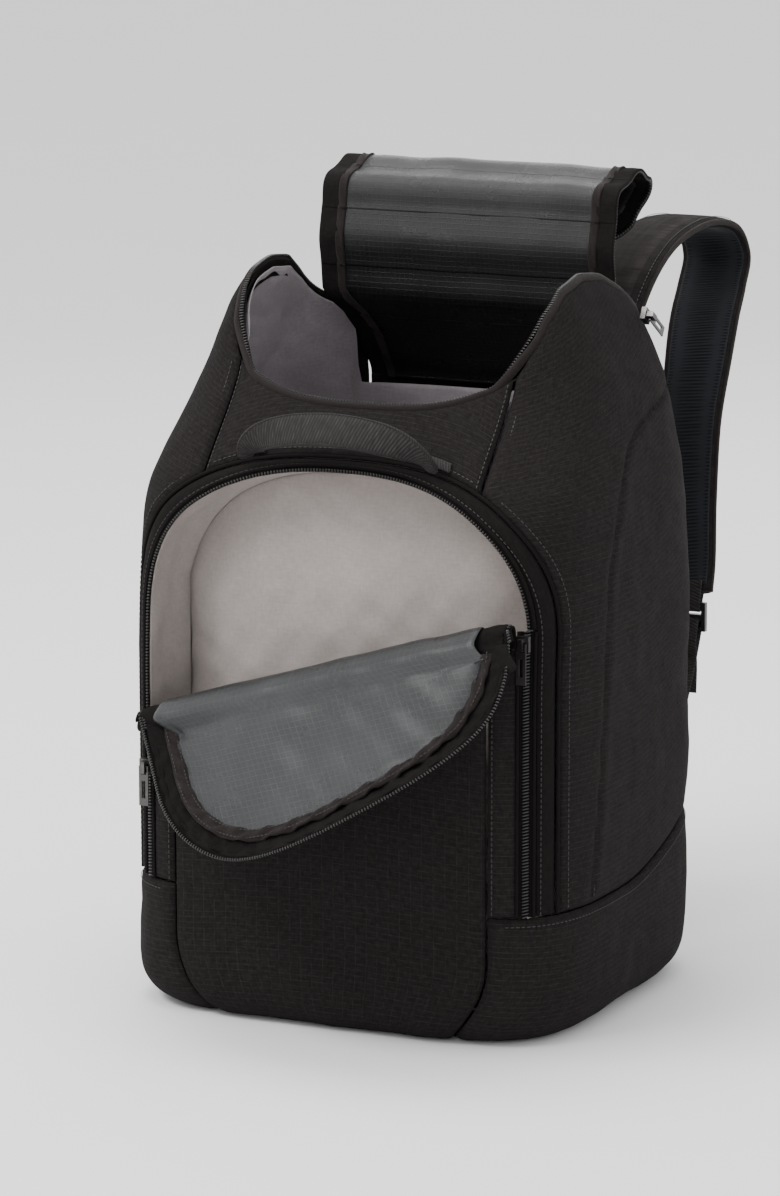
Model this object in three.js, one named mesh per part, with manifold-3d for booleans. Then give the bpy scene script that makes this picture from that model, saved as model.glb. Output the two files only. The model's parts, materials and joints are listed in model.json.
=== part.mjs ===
// Ski boot bag: a tall backpack with a roll-back lid, a zipped front pocket and shoulder straps.
// Millimetres, +Z up, +X to the wearer's left side of the drawing, front of the bag towards -Y.
// The origin is the centre of the flat base.
import * as THREE from "three";
import Module from "manifold-3d";
import { mergeVertices } from "three/addons/utils/BufferGeometryUtils.js";

const wasm = await Module();
wasm.setup();

// ---------------------------------------------------------------- driving dimensions

const GAP = 1; // from a piece to its seam, so that neighbours stay clear
const PANEL = 3; // outer fabric with its foam
const LINING = 1.5;
const DIVIDER = 2;

const BAG = {
  halfWidth: 193,
  wallDepth: 150, // from the origin forward to the wall between the two compartments
  pocketDepth: 205, // from the origin forward to the pocket's front
  backDepth: 142,
  wallPower: 3.6, // roundness of the corners in plan: a higher power is squarer
  pocketPower: 5,
  baseEdge: 28, // radius where the walls turn under
  bandFront: 104, // height of the lower band's seam in front
  bandRise: 36, // and how much higher it is behind
  wallFrom: 395, // between these heights the front leaves the pocket's surface
  wallTo: 510, // for the compartment's
};

const PANEL_SEAM_X = 117; // seam between front panel and side panels
const BACK_SEAM = { low: 150, high: 112, from: 250, to: 470 };
const BACK_TOP = 462;
const CENTRE_PANEL_X = 133;

// The two U-shaped lines of the pocket, each a straight leg with a rounded arch above its spring.
const ZIP_ARCH = { half: 160, spring: 310, rise: 125, power: 2.4 };
const SEAM_ARCH = { half: 178, spring: 310, rise: 136, power: 2.6 };
const ARCH_STEPS = 20;
const LEG_STEPS = 4;

// Rim of the top opening, front corner to back corner, seen from the side as [y, z].
const RIM = [
  [-110, 503], [-97, 525], [-80, 548], [-55, 567], [-20, 574], [15, 570], [45, 556], [75, 537],
  [105, 520], [118, 508],
];
const FRONT_RIM = { centre: 481, rise: 26, power: 3 };

// The lid closed, from its hinge behind to its tip in front, and how it lies rolled back.
const LID_HINGE = [129, 466];
const LID_CLOSED = [
  LID_HINGE, [124, 490], [118, 508], [105, 520], [75, 537], [45, 556], [15, 570], [-20, 574],
  [-55, 567], [-80, 548], [-97, 525], [-110, 500], [-121, 485],
];
const LID_STATIONS = [0, 44, 90, 136, 182, 226, 262, 304, 346];
const LID_ROLLED = [128, 129, 99, 77, 18, -25, -125, -165]; // direction of each panel, degrees
const LID_WIDTHS = [[0, 82], [44, 97], [70, 112], [94, 128], [250, 128], [296, 116], [325, 96], [346, 58]];
const LID_THICK = 3;

const FLAP = {
  right: { x: 158, z: 333, sliderDrop: 14 },
  left: { x: -160, z: 236, sliderDrop: 42 },
  axisY: -197,
  rest: 144, // degrees that the flap is folded down
  foldGap: 15,
  flatDepth: 199, // the pocket's front is no deeper than this along the fold line,
  flatBand: 100, // and takes its full depth again this far from it
};

const STRAP = {
  pivot: [70, 152, 448], // right-hand strap; the other is its mirror image
  width: 60,
  tipWidth: 40,
  thick: 10,
  route: [
    [71, 158, 462], [72, 180, 503], [73, 220, 541], [74, 272, 564], [78, 335, 572], [82, 386, 562],
    [86, 401, 536], [90, 379, 512], [97, 345, 490], [104, 313, 458], [110, 282, 412], [119, 258, 352],
    [129, 237, 304], [134, 221, 280],
  ],
};

const HANDLE = { halfSpan: 78, foot: 443, rise: 33, width: 28, thick: 3, y: -176, lean: 12 };

// ---------------------------------------------------------------- materials

const colour = (hex, roughness, metalness = 0) =>
  new THREE.MeshStandardMaterial({ color: hex, roughness, metalness });
const SHELL = colour(0x24201f, 0.85);
const RIPSTOP = colour(0x2a2625, 0.8);
const LINING_FABRIC = colour(0x8c8286, 0.75);
const POCKET_LINING = colour(0xb3aaa5, 0.75);
const TARPAULIN = colour(0x1b1b1c, 0.3);
const GREY_TARPAULIN = colour(0x6f7172, 0.3);
const WEBBING = colour(0x2b2827, 0.8);
const ZIP = colour(0x1d1b1a, 0.5);
const METAL = colour(0x8f8f8f, 0.35, 0.9);
const PLASTIC = colour(0x151515, 0.45);
const FOAM = colour(0x26272a, 0.9);
const BOARD = colour(0x3a3a3a, 0.7);

// ---------------------------------------------------------------- small helpers

const clamp = (v, lo = 0, hi = 1) => Math.min(hi, Math.max(lo, v));
const mix = (a, b, t) => a + (b - a) * t;
const ramp = (v, lo, hi) => clamp((v - lo) / (hi - lo));
const radians = THREE.MathUtils.degToRad;

function ease(v, lo, hi) {
  const t = ramp(v, lo, hi);
  return t * t * (3 - 2 * t);
}

const steps = (from, to, count) => Array.from({ length: count + 1 }, (_, i) => mix(from, to, i / count));

// Value at x of the line through a table of [x, value] pairs.
function along(table, x) {
  const k = clamp(table.findIndex(([at]) => at >= x), 1, table.length - 1);
  const [x0, v0] = table[k - 1];
  const [x1, v1] = table[k];
  return mix(v0, v1, x >= table.at(-1)[0] ? 1 : ramp(x, x0, x1));
}

const group = new THREE.Group();

function add(name, geometry, material) {
  const mesh = new THREE.Mesh(geometry, material);
  mesh.name = name;
  group.add(mesh);
  return mesh;
}

// ---------------------------------------------------------------- solids from grids of points

function closedGeometry(points, index) {
  let volume = 0;
  const cross = new THREE.Vector3();
  for (let k = 0; k < index.length; k += 3) {
    cross.crossVectors(points[index[k + 1]], points[index[k + 2]]);
    volume += points[index[k]].dot(cross);
  }
  const geometry = new THREE.BufferGeometry();
  geometry.setAttribute("position", new THREE.Float32BufferAttribute(points.flatMap((p) => p.toArray()), 3));
  geometry.setIndex(volume > 0 ? index : index.toReversed());
  geometry.computeVertexNormals();
  return geometry;
}

// The closed solid between two grids of points of the same size.
function between(front, back) {
  const rows = front.length;
  const cols = front[0].length;
  const at = (side, i, j) => (side * rows + i) * cols + j;
  const index = [];
  const quad = (a, b, c, d) => index.push(a, b, c, a, c, d);
  for (let i = 0; i < rows - 1; i++) {
    for (let j = 0; j < cols - 1; j++) {
      quad(at(0, i, j), at(0, i + 1, j), at(0, i + 1, j + 1), at(0, i, j + 1));
      quad(at(1, i, j), at(1, i, j + 1), at(1, i + 1, j + 1), at(1, i + 1, j));
    }
    quad(at(0, i, 0), at(1, i, 0), at(1, i + 1, 0), at(0, i + 1, 0));
    quad(at(0, i, cols - 1), at(0, i + 1, cols - 1), at(1, i + 1, cols - 1), at(1, i, cols - 1));
  }
  for (let j = 0; j < cols - 1; j++) {
    quad(at(0, 0, j), at(0, 0, j + 1), at(1, 0, j + 1), at(1, 0, j));
    quad(at(0, rows - 1, j), at(1, rows - 1, j), at(1, rows - 1, j + 1), at(0, rows - 1, j + 1));
  }
  return closedGeometry([...front.flat(), ...back.flat()], index);
}

// A grid of points moved along its own normals. The normals point away from the bag's axis.
function offset(grid, distance) {
  const last = (list) => list.length - 1;
  return grid.map((row, i) =>
    row.map((p, j) => {
      const u = grid[Math.min(i + 1, last(grid))][j].clone().sub(grid[Math.max(i - 1, 0)][j]);
      const v = row[Math.min(j + 1, last(row))].clone().sub(row[Math.max(j - 1, 0)]);
      return p.clone().addScaledVector(u.cross(v).normalize(), distance);
    }),
  );
}

const sheet = (grid, thick, depth = 0) => between(offset(grid, -depth), offset(grid, -depth - thick));

// A solid of stacked outlines, each a list of points, with both ends closed by a fan.
function stack(rings) {
  const n = rings[0].length;
  const points = rings.flat();
  const index = [];
  for (let r = 0; r < rings.length - 1; r++) {
    for (let i = 0; i < n; i++) {
      const a = r * n + i;
      const b = r * n + ((i + 1) % n);
      index.push(a, b, b + n, a, b + n, a + n);
    }
  }
  for (const [ring, flip] of [[0, true], [rings.length - 1, false]]) {
    const centre = points.length;
    points.push(rings[ring].reduce((s, p) => s.add(p), new THREE.Vector3()).divideScalar(n));
    for (let i = 0; i < n; i++) {
      const edge = [ring * n + i, ring * n + ((i + 1) % n)];
      index.push(centre, ...(flip ? edge.reverse() : edge));
    }
  }
  return closedGeometry(points, index);
}

// A flat band of rectangular section along a route, its width along the given directions.
function ribbon(route, widths, thick, across) {
  const rings = route.map((p, i) => {
    const tangent = route[Math.min(i + 1, route.length - 1)].clone().sub(route[Math.max(i - 1, 0)]);
    const side = across[i].clone().normalize();
    const normal = tangent.cross(side).normalize();
    const corner = (s, t) =>
      p.clone().addScaledVector(side, (s * widths[i]) / 2).addScaledVector(normal, (t * thick) / 2);
    return [corner(-1, -1), corner(1, -1), corner(1, 1), corner(-1, 1)];
  });
  return stack(rings);
}

function toManifold(geometry) {
  const plain = new THREE.BufferGeometry();
  plain.setAttribute("position", geometry.getAttribute("position"));
  plain.setIndex(geometry.getIndex());
  const merged = mergeVertices(plain, 1e-4);
  return new wasm.Manifold(
    new wasm.Mesh({
      numProp: 3,
      vertProperties: merged.getAttribute("position").array,
      triVerts: Uint32Array.from(merged.getIndex().array),
    }),
  );
}

function fromManifold(solid) {
  const mesh = solid.getMesh();
  const geometry = new THREE.BufferGeometry();
  geometry.setAttribute("position", new THREE.Float32BufferAttribute(mesh.vertProperties, 3));
  geometry.setIndex([...mesh.triVerts]);
  geometry.computeVertexNormals();
  return geometry;
}

const cut = (geometry, ...tools) =>
  fromManifold(tools.reduce((s, tool) => s.subtract(toManifold(tool)), toManifold(geometry)));

const block = (w, d, h, x = 0, y = 0, z = 0) => new THREE.BoxGeometry(w, d, h).translate(x, y, z);

// ---------------------------------------------------------------- the bag's outer form

const halfWidth = (z) =>
  BAG.halfWidth - 58 * ramp(z, 300, 575) ** 2.4 - 6 * ramp(60 - z, 0, 60) ** 2;
const lean = (z) => 52 * ramp(z, 260, 590) ** 1.8;
const backDepth = (z) => BAG.backDepth - 22 * ramp(z, 380, 530) ** 2;

function edgeInset(z) {
  const d = clamp(BAG.baseEdge - z, 0, BAG.baseEdge);
  return BAG.baseEdge - Math.sqrt(BAG.baseEdge ** 2 - d ** 2);
}

// Plan section at a height. wall is 0 on the pocket's surface and 1 on the main compartment's.
function section(z, wall, inset = 0) {
  const under = edgeInset(z) + inset;
  return {
    z,
    a: halfWidth(z) - under,
    front: mix(BAG.pocketDepth, BAG.wallDepth, wall) - lean(z) - under,
    back: backDepth(z) - under,
    frontPower: mix(BAG.pocketPower, BAG.wallPower, wall),
  };
}

function roundAt(s, angle) {
  const forward = Math.sin(angle) < 0;
  const b = forward ? s.front : s.back;
  const n = forward ? s.frontPower : BAG.wallPower;
  const radius =
    (Math.abs(Math.cos(angle) / s.a) ** n + Math.abs(Math.sin(angle) / b) ** n) ** (-1 / n);
  return new THREE.Vector3(radius * Math.cos(angle), radius * Math.sin(angle), s.z);
}

function onFront(s, x) {
  const y = -s.front * clamp(1 - Math.abs(x / s.a) ** s.frontPower) ** (1 / s.frontPower);
  return new THREE.Vector3(x, y, s.z);
}

function onBack(s, x) {
  const y = s.back * clamp(1 - Math.abs(x / s.a) ** BAG.wallPower) ** (1 / BAG.wallPower);
  return new THREE.Vector3(x, y, s.z);
}

// The outside runs on from the pocket's surface below to the compartment's above the arch.
const outside = (z, inset) => section(z, ease(z, BAG.wallFrom, BAG.wallTo), inset);
const bandSeam = (y) => BAG.bandFront + BAG.bandRise * ease(y, -60, 130);
const backSeam = (z) => mix(BACK_SEAM.low, BACK_SEAM.high, ease(z, BACK_SEAM.from, BACK_SEAM.to));
const frontRim = (x) =>
  FRONT_RIM.centre + FRONT_RIM.rise * Math.abs(x / PANEL_SEAM_X) ** FRONT_RIM.power;

const archHeight = ({ half, spring, rise, power }, x) =>
  spring + rise * clamp(1 - Math.abs(x / half) ** power) ** (1 / power);
const archReach = ({ half, spring, rise, power }, z) =>
  half * clamp(1 - ramp(z, spring, spring + rise) ** power) ** (1 / power);

// Points [x, z] from the right foot over the arch to the left foot.
function archOutline(arch, inset, footRight, footLeft) {
  const half = arch.half - inset;
  const rise = arch.rise - inset;
  const startAt = (foot) => Math.asin(ramp(foot, arch.spring, arch.spring + rise) ** (arch.power / 2));
  const leg = (foot, side) =>
    foot < arch.spring
      ? steps(foot, arch.spring, LEG_STEPS).slice(0, -1).map((z) => [side * half, z])
      : [];
  const curve = steps(startAt(footRight), Math.PI - startAt(footLeft), ARCH_STEPS).map((t) => [
    half * Math.sign(Math.cos(t)) * Math.abs(Math.cos(t)) ** (2 / arch.power),
    arch.spring + rise * Math.abs(Math.sin(t)) ** (2 / arch.power),
  ]);
  return [...leg(footRight, 1), ...curve, ...leg(footLeft, -1).reverse()];
}

const foldHeight = (x) => mix(FLAP.left.z, FLAP.right.z, ramp(x, FLAP.left.x, FLAP.right.x));

// Front of the pocket. It lies flat along the fold line of the flap.
function pocketPoint(x, z) {
  const p = onFront(outside(z), x);
  const flat = 1 - ease(Math.abs(z - foldHeight(x)), 0, FLAP.flatBand);
  return p.setY(mix(p.y, Math.max(p.y, -FLAP.flatDepth), flat));
}

// ---------------------------------------------------------------- base

const RING = 56;
const ringAt = (z, inset) =>
  steps(0, 2 * Math.PI, RING).slice(0, -1).map((angle) => roundAt(section(z, 0, inset), angle));

function makeBase() {
  add("base_panel", stack([ringAt(0, 0), ringAt(PANEL, 0)]), SHELL);

  // The turned-up edge, with its seam at the middle of the back.
  const start = Math.PI / 2;
  const seam = radians(0.3);
  const edge = steps(start + seam, start + 2 * Math.PI - seam, RING).map((angle) =>
    [PANEL + GAP, 8, 15, BAG.baseEdge].map((z) => roundAt(section(z, 0), angle)),
  );
  add("base_edge", sheet(edge, PANEL), SHELL);

  const board = (z) => ringAt(BAG.baseEdge, 30).map((p) => new THREE.Vector3(p.x, Math.max(p.y, -118), z));
  add("base_board", stack([board(PANEL + GAP), board(PANEL + GAP + 3)]), BOARD);
}

// ---------------------------------------------------------------- shell panels

function makeLowerBand() {
  const from = onFront(section(60, 0), CENTRE_PANEL_X + GAP);
  const start = Math.atan2(from.y, from.x);
  const grid = steps(start, Math.PI - start, 52).map((angle) => {
    const top = bandSeam(roundAt(section(120, 0), angle).y) - GAP;
    return steps(BAG.baseEdge + GAP, top, 4).map((z) => roundAt(section(z, 0), angle));
  });
  add("lower_band", sheet(grid, PANEL), SHELL);
}

// Angle of the side panel's front and back edges at a height.
function sideEdges(z) {
  const x = z > 420 ? Math.max(archReach(SEAM_ARCH, z), PANEL_SEAM_X) : archReach(SEAM_ARCH, z);
  const front = onFront(outside(z), x + GAP);
  const back = onBack(section(z, 1), backSeam(z) + GAP);
  return [Math.atan2(front.y, front.x), Math.atan2(back.y, back.x)];
}

function sidePoint(share, z) {
  const [front, back] = sideEdges(z);
  return roundAt(outside(z), mix(front, back, share));
}

function rimAt(share) {
  let z = 540;
  for (let k = 0; k < 12; k++) {
    z = along(RIM, sidePoint(share, z).y);
  }
  return z;
}

function makeSidePanels() {
  const grid = steps(0, 1, 16).map((share) => {
    const low = bandSeam(sidePoint(share, 140).y) + GAP;
    return steps(low, rimAt(share), 13).map((z) => sidePoint(share, z));
  });
  const mirrored = grid.map((column) => column.map((p) => new THREE.Vector3(-p.x, p.y, p.z))).reverse();
  add("side_panel_right", sheet(grid, PANEL), SHELL);
  add("side_panel_left", sheet(mirrored, PANEL), SHELL);
}

function makeFrontPanel() {
  const edge = PANEL_SEAM_X - GAP;
  const grid = steps(-edge, edge, 12).map((x) =>
    steps(archHeight(SEAM_ARCH, x) + GAP, frontRim(x), 4).map((z) => onFront(outside(z), x)),
  );
  add("front_panel", sheet(grid, PANEL), SHELL);
}

function makeBackPanel() {
  const grid = steps(1, -1, 10).map((share) => {
    const low = bandSeam(BAG.backDepth) + GAP;
    return steps(low, BACK_TOP, 7).map((z) => onBack(section(z, 1), share * (backSeam(z) - GAP)));
  });
  add("back_panel", sheet(grid, PANEL), SHELL);
}

// A pad on the outside of the back, from x0 to x1 and z0 to z1.
function backPad(name, x0, x1, z0, z1) {
  const grid = steps(x1, x0, 8).map((x) => steps(z0, z1, 4).map((z) => onBack(section(z, 1), x)));
  add(name, sheet(grid, 7, -7 - GAP), FOAM);
}

function makeBackPads() {
  backPad("back_pad_right", 14, 98, 228, 424);
  backPad("back_pad_left", -98, -14, 228, 424);
  backPad("lumbar_pad", -112, 112, 200, 222);
  const yoke = steps(104, -104, 6).map((x) => steps(430, 460, 2).map((z) => onBack(section(z, 1), x)));
  add("strap_yoke", sheet(yoke, 3, -3 - GAP), WEBBING);
}

// ---------------------------------------------------------------- linings

function makeMainLiner() {
  const depth = PANEL + DIVIDER + 4;
  const column = (angle) => {
    const y = roundAt(section(520, 1, depth), angle).y;
    const x = roundAt(section(490, 1, depth), angle).x;
    const overBack = Math.abs(x) < BACK_SEAM.high && y > 0;
    const overFront = Math.abs(x) < PANEL_SEAM_X && y < 0;
    const top = overBack ? BACK_TOP : overFront ? frontRim(x) : along(RIM, y);
    return steps(PANEL + 8, top - 6, 6).map((z) => roundAt(section(z, 1, depth), angle));
  };
  const start = Math.PI / 2;
  const opening = radians(0.3); // the lining's own seam, up the middle of the back
  const grid = steps(start + opening, start + 2 * Math.PI - opening, 60).map(column);
  add("main_liner", sheet(grid, LINING), LINING_FABRIC);
}

function makeDivider() {
  const edge = 174;
  const grid = steps(-edge, edge, 16).map((x) =>
    steps(BAG.baseEdge + 2, archHeight(SEAM_ARCH, x) - 3, 6).map((z) =>
      onFront(section(z, 1, PANEL + 1), x),
    ),
  );
  add("pocket_divider", sheet(grid, DIVIDER), POCKET_LINING);
}

// ---------------------------------------------------------------- pocket

const ZIP_HALF = 4; // half the width of a closed zip run
const LEG_FOOT = BAG.bandFront + GAP;
const GUSSET_ARCH = { ...ZIP_ARCH, half: ZIP_ARCH.half + ZIP_HALF + 2.5, rise: ZIP_ARCH.rise + 3 };

function makeGusset() {
  const inner = archOutline(GUSSET_ARCH, 0, LEG_FOOT, LEG_FOOT);
  const outer = archOutline(SEAM_ARCH, GAP, LEG_FOOT, LEG_FOOT);
  const grid = inner
    .map(([xi, zi], i) => {
      const [xo, zo] = outer[i];
      return steps(0, 1, 4).map((v) => pocketPoint(mix(xi, xo, v), mix(zi, zo, v)));
    })
    .reverse();
  add("pocket_gusset", sheet(grid, 2.5), SHELL);
}

// Part of the pocket's fixed front between two x, up to the fold line.
function pocketFront(name, x0, x1, low, count, material) {
  const grid = steps(x0, x1, count).map((x) =>
    steps(low, foldHeight(x) - 8, 5).map((z) => pocketPoint(x, z)),
  );
  add(name, sheet(grid, 2.5), material);
}

function zipRun(name, side, top) {
  const x = side * ZIP_ARCH.half;
  const grid = steps(x - ZIP_HALF, x + ZIP_HALF, 2).map((at) =>
    steps(LEG_FOOT, top, 6).map((z) => pocketPoint(at, z)),
  );
  add(name, sheet(grid, 2), ZIP);
}

function makePocket() {
  makeGusset();
  const strip = ZIP_ARCH.half - ZIP_HALF - GAP;
  const panel = CENTRE_PANEL_X - GAP;
  pocketFront("pocket_centre_panel", -panel, panel, BAG.baseEdge + GAP, 14, RIPSTOP);
  pocketFront("pocket_strip_right", CENTRE_PANEL_X + GAP, strip, LEG_FOOT, 2, SHELL);
  pocketFront("pocket_strip_left", -strip, -CENTRE_PANEL_X - GAP, LEG_FOOT, 2, SHELL);
  zipRun("pocket_zip_right", 1, FLAP.right.z - 6);
  zipRun("pocket_zip_left", -1, FLAP.left.z - 6);
  const edge = archOutline(ZIP_ARCH, -1.6, FLAP.right.z, FLAP.left.z);
  const tape = archOutline(ZIP_ARCH, 0.6, FLAP.right.z, FLAP.left.z);
  const grid = tape
    .map(([x, z], i) => [pocketPoint(x, z), pocketPoint(...edge[i])])
    .reverse();
  add("pocket_zip_arch", sheet(grid, 2), ZIP);
}

// The flap is laid out closed, on the pocket's surface, and then turned down about the fold line.
const foldRight = new THREE.Vector3(FLAP.right.x, FLAP.axisY, FLAP.right.z);
const foldLeft = new THREE.Vector3(FLAP.left.x, FLAP.axisY, FLAP.left.z);
const foldAxis = foldRight.clone().sub(foldLeft).normalize();
const folded = (p) =>
  p.clone().sub(foldRight).applyAxisAngle(foldAxis, radians(FLAP.rest)).add(foldRight);
const foldedGrid = (grid) => grid.map((column) => column.map(folded));

function flapGrid(inset, gap, count) {
  const arch = { ...ZIP_ARCH, half: ZIP_ARCH.half - inset, rise: ZIP_ARCH.rise - inset };
  const right = 149 - 1.4 * (inset - 6);
  return steps(-arch.half + 0.6, right, count).map((x) =>
    steps(foldHeight(x) + gap, archHeight(arch, x), 5).map((z) => pocketPoint(x, z)),
  );
}

function makeFlap() {
  const panel = foldedGrid(flapGrid(6.8, FLAP.foldGap, 18));
  add("flap_panel", sheet(panel, 2.5), RIPSTOP);
  const lining = foldedGrid(offset(flapGrid(24, FLAP.foldGap + 4, 18), -5));
  add("flap_lining", sheet(lining, 1.2), GREY_TARPAULIN);
  const feet = [FLAP.right.z + FLAP.foldGap + 2, FLAP.left.z + FLAP.foldGap + 2];
  const outer = archOutline(ZIP_ARCH, 1.2, ...feet);
  const inner = archOutline(ZIP_ARCH, 5, ...feet);
  const zip = outer
    .map(([x, z], i) => [pocketPoint(...inner[i]), pocketPoint(x, z)])
    .reverse();
  add("flap_zip", sheet(foldedGrid(zip), 2), ZIP);
}

// ---------------------------------------------------------------- zips, sliders and pulls

function makeRimZip() {
  const depth = PANEL + 0.6;
  const grid = [];
  const station = (x, y, z) => {
    grid.push([-7, -0.5].map((dz) => new THREE.Vector3(x, y, z + dz)));
  };
  const sideStation = (side, y) => {
    const z = along(RIM, y);
    const s = outside(z, depth);
    const b = y < 0 ? s.front : s.back;
    station(side * s.a * clamp(1 - Math.abs(y / b) ** BAG.wallPower) ** (1 / BAG.wallPower), y, z);
  };
  const ys = steps(-98, 104, 16);
  ys.toReversed().forEach((y) => sideStation(-1, y));
  steps(-108, 108, 12).forEach((x) => {
    const z = frontRim(x);
    station(x, onFront(outside(z, depth), x).y, z);
  });
  ys.forEach((y) => sideStation(1, y));
  add("rim_zip", sheet(grid, 1.4), ZIP);
}

const BRIDGE_Y = 6.4; // how far the pull's pin stands in front of a slider

// A zip slider that lies on the plane y = 0, with a bridge in front for the pull tab.
function slider() {
  const body = toManifold(block(10, 4, 12, 0, -2, 0));
  const bridge = toManifold(block(4, 6, 9.4, 0, -6.7, 0));
  return fromManifold(body.add(bridge).subtract(toManifold(block(6, 3.6, 4.4, 0, -BRIDGE_Y, 0))));
}

const PULL = { width: 8, thick: 1.2, length: 32, pinTop: 1.1 };

// A pull tab that hangs from the origin, its flat side towards Y and its pin along X.
function pullTab() {
  const tab = block(PULL.width, PULL.thick, PULL.length, 0, 0, PULL.pinTop - PULL.length / 2);
  const eye = block(4.8, 4, 4.8, 0, 0, -3.5);
  const slot = block(3.2, 4, 14, 0, 0, -18);
  return cut(tab, eye, slot);
}

function makeSliders() {
  for (const [side, word, fold] of [[1, "right", FLAP.right], [-1, "left", FLAP.left]]) {
    const z = fold.z - fold.sliderDrop;
    const x = side * ZIP_ARCH.half;
    const y = pocketPoint(x, LEG_FOOT).y - 3.4;
    add(`pocket_slider_${word}`, slider().translate(x, y, z), METAL);
    add(`pocket_pull_${word}`, pullTab().translate(x, y - BRIDGE_Y, z), METAL);
  }
}

// The lid's sliders sit outside the rim's back corners, and their pulls lie back along its slope.
const LID_SLIDER = { y: 58, drop: 13, clear: 5.8, slope: 58 };

function makeLidSliders() {
  for (const [side, word] of [[1, "right"], [-1, "left"]]) {
    const z = along(RIM, LID_SLIDER.y) - LID_SLIDER.drop;
    const s = section(z, 1);
    const share = (1 - (LID_SLIDER.y / s.back) ** BAG.wallPower) ** (1 / BAG.wallPower);
    const x = side * (s.a * share + LID_SLIDER.clear);
    const turn = (side * Math.PI) / 2;
    const slope = radians(LID_SLIDER.slope);
    const pin = x + side * BRIDGE_Y;
    add(`lid_slider_${word}`, slider().rotateZ(turn).rotateX(slope).translate(x, LID_SLIDER.y, z), METAL);
    const pull = pullTab().rotateZ(turn).rotateX(slope);
    add(`lid_pull_${word}`, pull.translate(pin, LID_SLIDER.y, z), METAL);
  }
}

// ---------------------------------------------------------------- lid

const closedCurve = new THREE.CatmullRomCurve3(
  LID_CLOSED.map(([y, z]) => new THREE.Vector3(0, y, z)), false, "centripetal",
);

// Joints of the lid when closed, as points in the Y-Z plane, and the lengths between them.
function lidJoints() {
  const samples = closedCurve.getSpacedPoints(400);
  const total = closedCurve.getLength();
  return LID_STATIONS.map((arc) => samples[Math.round((clamp(arc / total) * 400))]);
}

const lidClosed = lidJoints();
const lidLengths = lidClosed.slice(1).map((p, k) => p.distanceTo(lidClosed[k]));
const lidRolled = [lidClosed[0].clone()];
lidLengths.forEach((length, k) => {
  const angle = radians(LID_ROLLED[k]);
  const step = new THREE.Vector3(0, Math.cos(angle), Math.sin(angle)).multiplyScalar(length);
  lidRolled.push(lidRolled[k].clone().add(step));
});

const closedAngles = lidLengths.map((_, k) => {
  const d = lidClosed[k + 1].clone().sub(lidClosed[k]);
  return THREE.MathUtils.radToDeg(Math.atan2(d.z, d.y));
});

// Turn from one panel to the next, without its sign.
function foldAt(angles, k) {
  const turn = angles[k] - angles[k - 1];
  return Math.abs(THREE.MathUtils.euclideanModulo(turn + 180, 360) - 180);
}

// Half the fold at a joint sets how far a panel stops short of it.
function lidEndGap(k) {
  if (k === 0 || k === lidLengths.length) {
    return 1.5;
  }
  const fold = Math.max(foldAt(LID_ROLLED, k), foldAt(closedAngles, k));
  return (LID_THICK / 2) * Math.tan(radians(fold / 2)) + 0.8;
}

function makeLid() {
  lidLengths.forEach((length, k) => {
    const from = lidRolled[k];
    const direction = lidRolled[k + 1].clone().sub(from).normalize();
    const normal = new THREE.Vector3(0, -direction.z, direction.y);
    const startArc = LID_STATIONS[k];
    const span = LID_STATIONS[k + 1] - startArc;
    const stations = steps(lidEndGap(k), length - lidEndGap(k + 1), 3);
    const face = (shift) =>
      stations.map((d) => {
        const half = along(LID_WIDTHS, startArc + (d / length) * span);
        const centre = from.clone().addScaledVector(direction, d).addScaledVector(normal, shift);
        return [-half, half].map((x) => new THREE.Vector3(x, centre.y, centre.z));
      });
    add(`lid_panel_${k + 1}`, between(face(LID_THICK / 2), face(-LID_THICK / 2)), TARPAULIN);
  });
}

// ---------------------------------------------------------------- handle and straps

function makeHandle() {
  const { halfSpan, foot, rise, width, thick, y, lean: tilt } = HANDLE;
  const route = steps(Math.PI, 0, 14).map(
    (t) => new THREE.Vector3(halfSpan * Math.cos(t), y - (tilt + 3) * Math.sin(t), foot + rise * Math.sin(t)),
  );
  const across = steps(Math.PI, 0, 14).map(
    (t) => new THREE.Vector3(0.55 * Math.cos(t), -1, 0.5 * Math.sin(t)),
  );
  const widths = steps(0, Math.PI, 14).map((t) => mix(14, width, Math.sin(t) ** 0.5));
  add("grab_handle", ribbon(route, widths, thick, across), WEBBING);
  for (const [side, word] of [[1, "right"], [-1, "left"]]) {
    const x0 = side * (halfSpan - 11);
    const x1 = side * (halfSpan + 11);
    const grid = steps(Math.min(x0, x1), Math.max(x0, x1), 2).map((x) =>
      steps(archHeight(SEAM_ARCH, x) + 3, archHeight(SEAM_ARCH, x) + 9, 1).map((z) => onFront(outside(z), x)),
    );
    add(`handle_anchor_${word}`, sheet(grid, 1.6, -1.6 - GAP), WEBBING);
  }
}

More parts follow.
